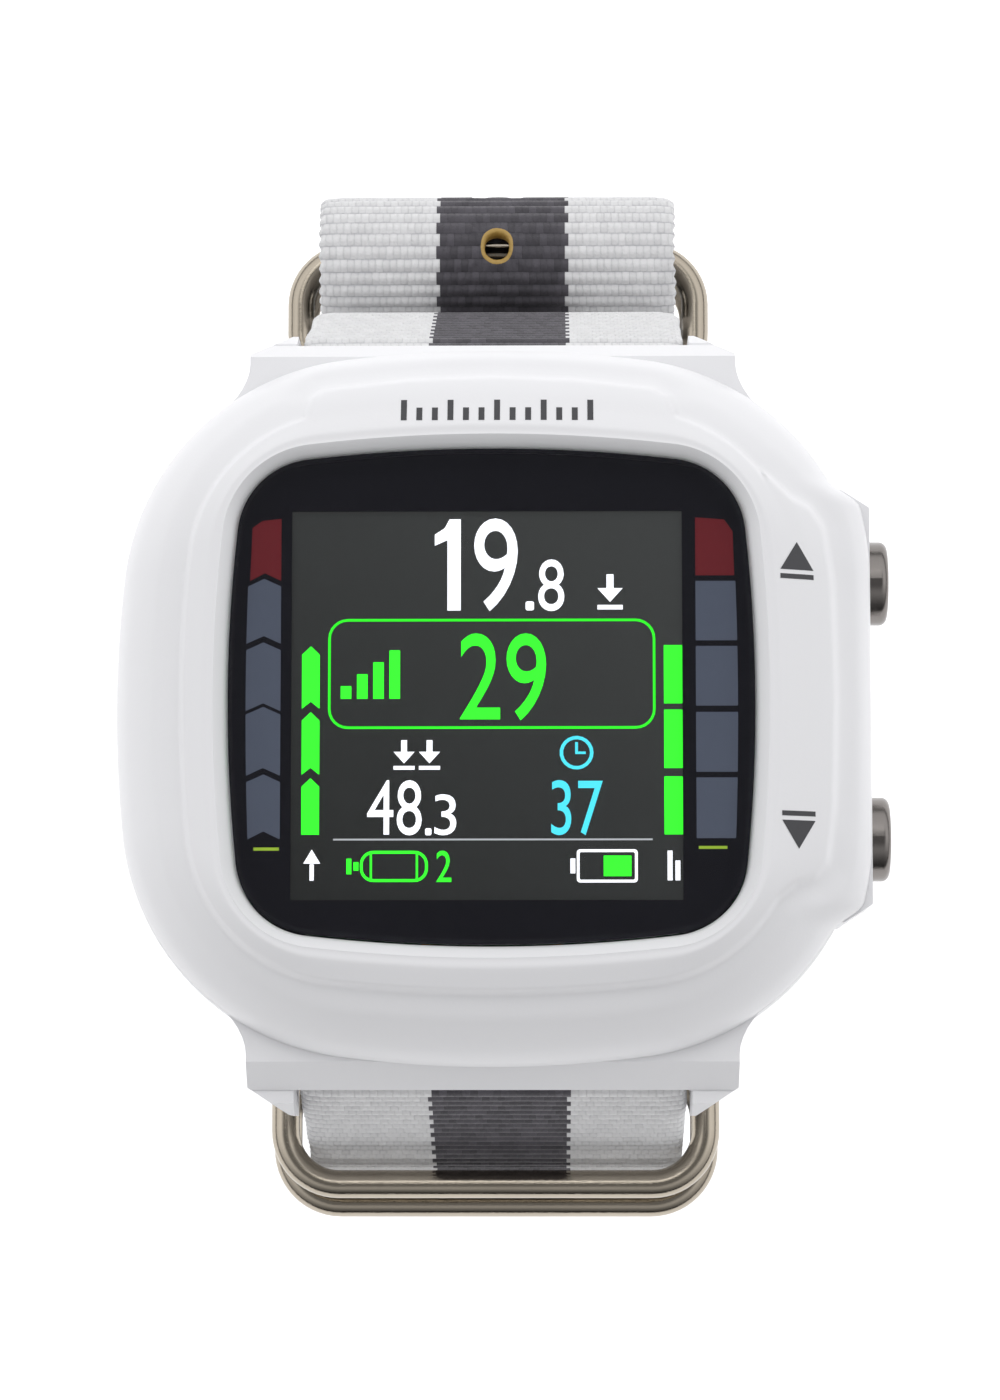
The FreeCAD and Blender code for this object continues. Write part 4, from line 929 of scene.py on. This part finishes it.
class DIVE_OT_glass(bpy.types.Operator):
    """Glass, the printed border under it and the coloured bars at its sides, both given a painted glow"""
    bl_idname = "dive.glass"
    bl_label = "Glass and print"

    def execute(self, context):
        look = context.scene.dive_display
        paint("lens", glass())
        # Painted glow: the printed border gives off a faint light of its own colour, though it is print, not
        # a lamp.
        ink = solid("border_ink", tuple(look.ink), 0.6, bump=0.0, cloud=0.05, glow=0.9)
        paint("display_mask", ink)
        paint("lens_gasket", rubber())
        # Painted glow: the printed bars give off light of their own colour, though they are print, not a
        # lamp.
        red, slate, lime = (
            solid(name, tint, 0.6, bump=0.0, cloud=0.05, glow=glow)
            for name, tint, glow in (("bar_red", (0.078, 0.012, 0.015), 0.85),
                                     ("bar_slate", (0.050, 0.058, 0.080), 0.85),
                                     ("bar_lime", (0.20, 0.30, 0.03), 0.9)))
        top = 65.03
        film = 0.01

        def bar(side, inner, y0, y1, point):
            """A bar with a bowed outer side; point lifts the middle of both ends."""
            steps = [y0 + (y1 - y0) * i / 6.0 for i in range(7)]
            outer = [side * (17.42 - 0.32 * (y / 12.7) ** 2) for y in steps]
            middle = (side * inner + outer[3]) / 2.0
            shape = [(side * inner, y1), (side * inner, y0), (middle, y0 + point)]
            shape += list(zip(outer, steps)) + [(middle, y1 + point)]
            return shape if side < 0 else shape[::-1]

        left = [(3.9, 8.0), (-0.9, 3.45), (-5.5, -1.15), (-10.0, -5.95)]
        right = [(4.1, 8.35), (-0.55, 3.7), (-5.25, -1.0), (-9.95, -5.65)]
        plates("left_bars", [bar(-1, 14.95, a, b, 0.55) for a, b in left], top, film, slate)
        plates("right_bars", [bar(1, 14.45, a, b, 0.0) for a, b in right], top, film, slate)
        ends = [[(-17.15, 8.4), (-16.1, 8.95), (-14.95, 8.4), (-14.95, 12.85), (-16.3, 12.7), (-17.0, 12.2)],
                [(14.45, 8.75), (17.2, 8.75), (17.1, 11.9), (16.5, 12.75), (14.45, 12.9)]]
        plates("red_bars", ends, top, film, red)
        lines = [rect(-16.8, -10.8, -15.0, -10.58), rect(14.6, -10.7, 16.6, -10.5)]
        plates("lime_lines", lines, top, film, lime)
        return {"FINISHED"}


class DIVE_OT_readings(bpy.types.Operator):
    """Lit face of the display with its numbers, bars and icons"""
    bl_idname = "dive.readings"
    bl_label = "Readings"

    def execute(self, context):
        look = context.scene.dive_display
        paint("display_panel", panel_face(look.face))

        def lit(name, tint):
            return solid(name, tuple(tint), 0.8, bump=0.0, cloud=0.03, glow=0.95)

        green = lit("lit_green", look.green)
        soft_green = lit("lit_green_frame", tuple(c * 0.75 for c in look.green))
        cyan = lit("lit_cyan", look.cyan)
        white = lit("lit_white", look.white)
        grey = lit("lit_grey", (0.30, 0.31, 0.33))
        self.numbers(green, white, cyan)
        self.side_bars(green)
        self.icons(green, white, cyan)
        frame_outline("reading_frame", round_rect(-11.6, -2.15, 11.6, 5.7, 1.4),
                      round_rect(-11.42, -1.97, 11.42, 5.52, 1.22), soft_green)
        lit_plates("low_line", [rect(-11.2, -10.06, 11.35, -9.94)], grey)
        return {"FINISHED"}

    def numbers(self, green, white, cyan):
        one = [(-3.15, 6.3), (-2.2, 6.3), (-2.2, 12.85), (-3.0, 12.85), (-3.35, 12.2), (-4.05, 11.75),
               (-4.05, 10.95), (-3.15, 11.35)]
        lit_plates("reading_top_one", [one], white)
        lit_plates("reading_top_dot", [round_rect(2.4, 6.3, 3.0, 6.95, 0.15)], white)
        lit_plates("reading_low_dot", [round_rect(-4.7, -9.7, -4.25, -9.2, 0.12)], white)
        for name, text, x0, y0, x1, y1, material in (
                ("reading_top_nine", "9", -1.25, 6.25, 1.85, 12.9, white),
                ("reading_top_b", "8", 3.3, 6.25, 5.15, 9.95, white),
                ("reading_mid", "29", -2.25, -1.55, 3.85, 4.65, green),
                ("reading_low_a", "48", -8.8, -9.7, -4.95, -5.8, white),
                ("reading_low_b", "3", -4.05, -9.7, -2.5, -6.8, white),
                ("reading_low_c", "37", 4.2, -9.7, 7.85, -5.8, cyan),
                ("tank_number", "2", -3.9, -13.0, -2.85, -10.8, green)):
            numeral(name, text, x0, y0, x1, y1, material)

    def side_bars(self, green):
        """Pointed bars at the left, square ones at the right."""
        x0, middle, x1 = -13.45, -12.82, -12.2
        bars = []
        for a, b in ((-0.7, 3.75), (-5.4, -0.95), (-9.65, -5.65)):
            notch = 0.5 if a > -9 else 0.0
            bars.append([(x0, a), (middle, a + notch), (x1, a), (x1, b - 0.6), (middle, b), (x0, b - 0.6)])
        bars += [rect(12.2, a, 13.5, b) for a, b in ((-0.35, 3.8), (-4.95, -0.8), (-9.65, -5.55))]
        lit_plates("side_bars", bars, green)

    def icons(self, green, white, cyan):
        """Tank, cell, rate, depth, clock and edge signs."""
        frame_outline("tank_icon", round_rect(-9.3, -13.0, -4.5, -10.8, 0.95),
                      round_rect(-9.1, -12.8, -4.7, -11.0, 0.75), green)
        tank = [rect(-5.35, -12.85, -5.2, -10.95), rect(-8.6, -12.85, -8.45, -10.95),
                rect(-9.75, -12.2, -9.4, -11.6), rect(-10.25, -12.45, -9.9, -11.35)]
        lit_plates("tank_valve", tank, green)
        frame_outline("cell_icon", round_rect(6.0, -13.05, 10.3, -10.7, 0.25),
                      round_rect(6.2, -12.85, 10.1, -10.9, 0.12), white)
        lit_plates("cell_tip", [rect(5.55, -12.4, 5.9, -11.35)], white)
        lit_plates("cell_fill", [rect(7.9, -12.6, 9.85, -11.15)], green)
        rate = [rect(-10.7 + 1.15 * i, 0.0, -9.95 + 1.15 * i, 0.9 + 0.85 * i) for i in range(4)]
        lit_plates("rate_icon", rate, green)

        def down_arrow(x, y, size):
            return [[(x - 0.5 * size, y + 0.55 * size), (x, y), (x + 0.5 * size, y + 0.55 * size)],
                    rect(x - 0.14 * size, y + 0.5 * size, x + 0.14 * size, y + 1.1 * size),
                    rect(x - 0.5 * size, y - 0.3 * size, x + 0.5 * size, y - 0.12 * size)]

        lit_plates("depth_icon", down_arrow(8.4, 6.9, 1.8), white)
        lit_plates("deepest_icon", down_arrow(-6.2, -4.6, 1.5) + down_arrow(-4.4, -4.6, 1.5), white)

        def dial(radius):
            return [(6.0 + radius * math.cos(0.3 * i), -3.85 + radius * math.sin(0.3 * i)) for i in range(21)]

        frame_outline("clock_icon", dial(1.2), dial(0.95), cyan)
        hands = [rect(5.9, -3.95, 6.1, -3.1), rect(6.1, -3.95, 6.65, -3.77)]
        lit_plates("clock_hands", hands, cyan)
        climb = [[(-13.3, -11.7), (-12.1, -11.7), (-12.7, -10.7)], rect(-12.85, -12.9, -12.55, -11.75)]
        climb += [rect(12.4, -12.9, 12.75, -10.8), rect(12.95, -12.9, 13.3, -11.5)]
        lit_plates("edge_icons", climb, white)


class DIVE_OT_strap(bpy.types.Operator):
    """Ribbed webbing strap in its two lengths, with holes and stitching"""
    bl_idname = "dive.strap"
    bl_label = "Strap"

    def execute(self, context):
        look = context.scene.dive_strap
        cloth = webbing(look)
        rim = solid("melted_rim", tuple(look.rim), 0.45, grain=0.0003, bump=0.5, cloud=0.35)
        thread = solid("stitch_thread", (0.82, 0.82, 0.80), 0.8, grain=0.0001, bump=0.4, cloud=0.05)
        wide = look.width / MM / 2.0
        thick = look.thickness / MM
        main = Route(MAIN_ROUTE)
        cross = main.distance_at(lambda y, z, up: y > 20 and up > 0 and CROSS_HEIGHT <= z < 12)
        centres = [cross + HOLE_PITCH * k for k in range(-4, 7) if k]
        holes = [(centre, HOLE_REACH, round_hole(centre)) for centre in centres]
        holes.append((cross, SLOT_REACH, long_hole(1.15, 1.7)))
        piece = band("strap_main", main, tail_width(wide, main.length, 4.5), thick, look.rib / MM, cloth,
                     holes=holes, phase=cross, rim=rim)
        stand_in(piece, "main_strap")
        short = Route(SHORT_ROUTE)
        narrow = 11.45
        taper_y, taper = -17.5, 2.2

        def short_width(s):
            """Full width, then narrower where the band loops round the ring sewn into it."""
            past = taper_y - short.at(s)[0]
            return wide if past < 0 else max(narrow, wide - (wide - narrow) * past / taper)

        piece = band("strap_short", short, short_width, thick, look.rib / MM, cloth)
        stand_in(piece, "short_strap")
        hinge_z, under_z = 20.35, 46.55
        places = [(-11.0 + 2.75 * i, 30.72, hinge_z + 0.55 * line, (1, 0, 0), (0, -1, 0))
                  for line in (-1, 1) for i in range(9)]
        places += [(-10.5 + 3.0 * i, y, under_z, (1, 0, 0), (0, 0, -1))
                   for i in range(8) for y in (-14.4, -15.9)]
        stitches("strap_stitches", places, thread, "computer")
        return {"FINISHED"}


class DIVE_OT_metal(bpy.types.Operator):
    """Rings, buckle, spring bars and push buttons"""
    bl_idname = "dive.metal"
    bl_label = "Metal parts"

    def execute(self, context):
        look = context.scene.dive_metal
        ring = solid("ring_steel", tuple(look.ring), 0.13, metal=1.0, grain=0.00012, bump=0.1, cloud=0.16,
                     stretch=(0.3, 3.0, 3.0))
        for node in ("sewn_ring", "stack_ring", "upper_keeper_ring", "lower_keeper_ring", "buckle_frame",
                     "buckle_tongue"):
            paint(node, ring)
        button = solid("button_steel", tuple(look.button), 0.2, metal=1.0, grain=0.0001, bump=0.08,
                       stretch=(1.0, 4.0, 1.0))
        spring = solid("spring_steel_looks", (0.50, 0.50, 0.49), 0.3, metal=1.0, grain=0.0001, bump=0.1)
        for side in ("upper", "lower"):
            paint(side + "_button", button)
            paint(side + "_button_clip", spring)
            shortening_coil(side + "_button_spring", "computer",
                            spring)
            paint(side + "_button_oring", rubber())
        paint("button_sleeves", brass())
        for side in ("top", "bottom"):
            for node in ("_bar_tube", "_bar_tip_left", "_bar_tip_right"):
                paint(side + node, spring)
            for hand, end in (("left", -BAR_SPRING_END), ("right", BAR_SPRING_END)):
                shortening_coil(side + "_bar_spring_" + hand, side + "_bar",
                                spring)
        return {"FINISHED"}


class DIVE_OT_insides(bpy.types.Operator):
    """Boards, battery and the other parts inside the case"""
    bl_idname = "dive.insides"
    bl_label = "Insides"

    def execute(self, context):
        board = solid("board_green_looks", (0.02, 0.13, 0.05), 0.45, grain=0.0006, bump=0.2, cloud=0.25,
                      coat=0.3)
        chip = solid("chip_black_looks", (0.02, 0.02, 0.022), 0.5, bump=0.2)
        film = solid("amber_film_looks", (0.55, 0.24, 0.03), 0.35, grain=0.0005, cloud=0.1)
        foil = solid("cell_foil_looks", (0.62, 0.63, 0.66), 0.35, metal=0.9, grain=0.0005, bump=0.3)
        foam = solid("grey_foam_looks", (0.16, 0.16, 0.17), 0.95, grain=0.0004, bump=0.8, cloud=0.2)
        for material, nodes in (
                (dark_plastic(), ("display_carrier", "switch_bodies", "upper_switch_plunger",
                                  "lower_switch_plunger")),
                (screw_steel(), ("carrier_screws", "pressure_sensor")),
                (board, ("main_board",)), (chip, ("board_chips",)), (film, ("display_flex",)),
                (foil, ("battery",)), (foam, ("battery_pad",)), (brass(), ("piezo_buzzer",)),
                (rubber(), ("sensor_oring",))):
            for node in nodes:
                paint(node, material)
        return {"FINISHED"}


CAMERA_AIM = (0.62, -0.4, 67.75)
CAMERA_YAW = -0.7
CAMERA_PITCH = 6.5
CAMERA_AWAY = 0.3
FLOOR_HALF = 3000
FLOOR_Z = -0.3
LAMP_AT = (-0.05, 0.3, 0.8)
LAMP_AIM = (0, 0, 0.05)
# Brightness of the surroundings, by the height of the direction: horizon and below 0, straight up 1.
SKY_FOOT = 0.20
SKY_LEVELS = [(0.12, 0.30), (0.26, 1.35), (0.80, 1.6), (0.90, 1.1), (0.96, 0.35)]
SKY_TOP = 0.30
SKY_TILT = 0.95


class DIVE_OT_stage(bpy.types.Operator):
    """Floor, surrounding light, lamp and camera"""
    bl_idname = "dive.stage"
    bl_label = "Stage"

    def execute(self, context):
        look = context.scene.dive_stage
        scene = context.scene
        scene.view_settings.view_transform = "Standard"
        scene.view_settings.look = "None"
        self.ground(look)
        self.surround(scene, look.sky)
        self.lamp(scene)
        self.camera(scene, look.lens)
        return {"FINISHED"}

    def ground(self, look):
        pale, tree, shader = blank("pale_floor")
        feed(tree, shader, {"Base Color": shaded(look.floor), "Roughness": 0.9, "Specular IOR Level": 0.1,
                            "Emission Color": (1.0, 1.0, 1.0, 1.0), "Emission Strength": 0.55})
        corners = [(x, y, FLOOR_Z) for x, y in rect(-FLOOR_HALF, -FLOOR_HALF, FLOOR_HALF, FLOOR_HALF)]
        add_object("floor", corners, [(0, 1, 2, 3)], pale, outward=False)

    def surround(self, scene, strength):
        """Soft light whose level depends on its height, weaker from the 6 o'clock side."""
        world = bpy.data.worlds.new("surround")
        scene.world = world
        world.use_nodes = True
        tree = world.node_tree
        place = add_node(tree, "ShaderNodeTexCoord")
        split = add_node(tree, "ShaderNodeSeparateXYZ", {0: place.outputs["Generated"]})
        ramp = add_node(tree, "ShaderNodeValToRGB", {"Fac": split.outputs["Z"]})
        stops = ramp.color_ramp.elements
        for stop, level in ((stops[0], SKY_FOOT), (stops[1], SKY_TOP)):
            stop.color = (level, level, level, 1.0)
        for position, level in SKY_LEVELS:
            stops.new(position).color = (level, level, level * 1.01, 1.0)
        shade = maths(tree, "MINIMUM", split.outputs["Y"], 0.0)
        tilt = maths(tree, "MULTIPLY_ADD", shade, SKY_TILT * strength, strength)
        feed(tree, tree.nodes["Background"], {"Color": ramp.outputs["Color"], "Strength": tilt})

    def lamp(self, scene):
        data = bpy.data.lights.new("top_lamp", "AREA")
        data.size = 0.3
        data.energy = 0.35
        lamp = bpy.data.objects.new("top_lamp", data)
        lamp.location = LAMP_AT
        lamp.rotation_euler = (Vector(LAMP_AIM) - Vector(LAMP_AT)).to_track_quat("-Z", "Y").to_euler()
        scene.collection.objects.link(lamp)

    def camera(self, scene, lens):
        data = bpy.data.cameras.new("view")
        data.sensor_fit = "VERTICAL"
        data.sensor_height = 36.0
        data.lens = lens
        data.clip_start = 0.01
        camera = bpy.data.objects.new("view", data)
        scene.collection.objects.link(camera)
        back = Vector((-math.sin(math.radians(CAMERA_YAW)), -math.sin(math.radians(CAMERA_PITCH)), 0.0))
        back.z = math.sqrt(1.0 - back.x ** 2 - back.y ** 2)
        camera.location = Vector(CAMERA_AIM) * MM + back * CAMERA_AWAY
        right = Vector((0, 1, 0)).cross(back).normalized()
        camera.rotation_euler = Matrix((right, back.cross(right), back)).transposed().to_euler()
        scene.camera = camera


class DIVE_PT_panel(bpy.types.Panel):
    """Sidebar panel with every step"""
    bl_idname = "DIVE_PT_panel"
    bl_label = "Dive Computer"
    bl_space_type = "VIEW_3D"
    bl_region_type = "UI"
    bl_category = "Dive Computer"

    def draw(self, context):
        for step in STEPS:
            self.layout.operator(step.bl_idname)
        for group in SETTINGS:
            settings = getattr(context.scene, group)
            box = self.layout.box()
            for key in settings.__annotations__:
                box.prop(settings, key)


STEPS = (DIVE_OT_shell, DIVE_OT_glass, DIVE_OT_readings, DIVE_OT_strap, DIVE_OT_metal,
         DIVE_OT_insides, DIVE_OT_stage)
SETTINGS = {"dive_shell": ShellSettings, "dive_display": DisplaySettings, "dive_strap": StrapSettings,
            "dive_metal": MetalSettings, "dive_stage": StageSettings}


def register():
    for settings in SETTINGS.values():
        bpy.utils.register_class(settings)
    for name, settings in SETTINGS.items():
        setattr(bpy.types.Scene, name, bpy.props.PointerProperty(type=settings))
    for step in STEPS:
        bpy.utils.register_class(step)
    bpy.utils.register_class(DIVE_PT_panel)


def unregister():
    bpy.utils.unregister_class(DIVE_PT_panel)
    for step in reversed(STEPS):
        bpy.utils.unregister_class(step)
    for name, settings in SETTINGS.items():
        delattr(bpy.types.Scene, name)
        bpy.utils.unregister_class(settings)


def main():
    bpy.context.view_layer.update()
    register()
    for step in STEPS:
        group, action = step.bl_idname.split(".")
        getattr(getattr(bpy.ops, group), action)()
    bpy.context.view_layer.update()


if __name__ == "__main__":
    main()
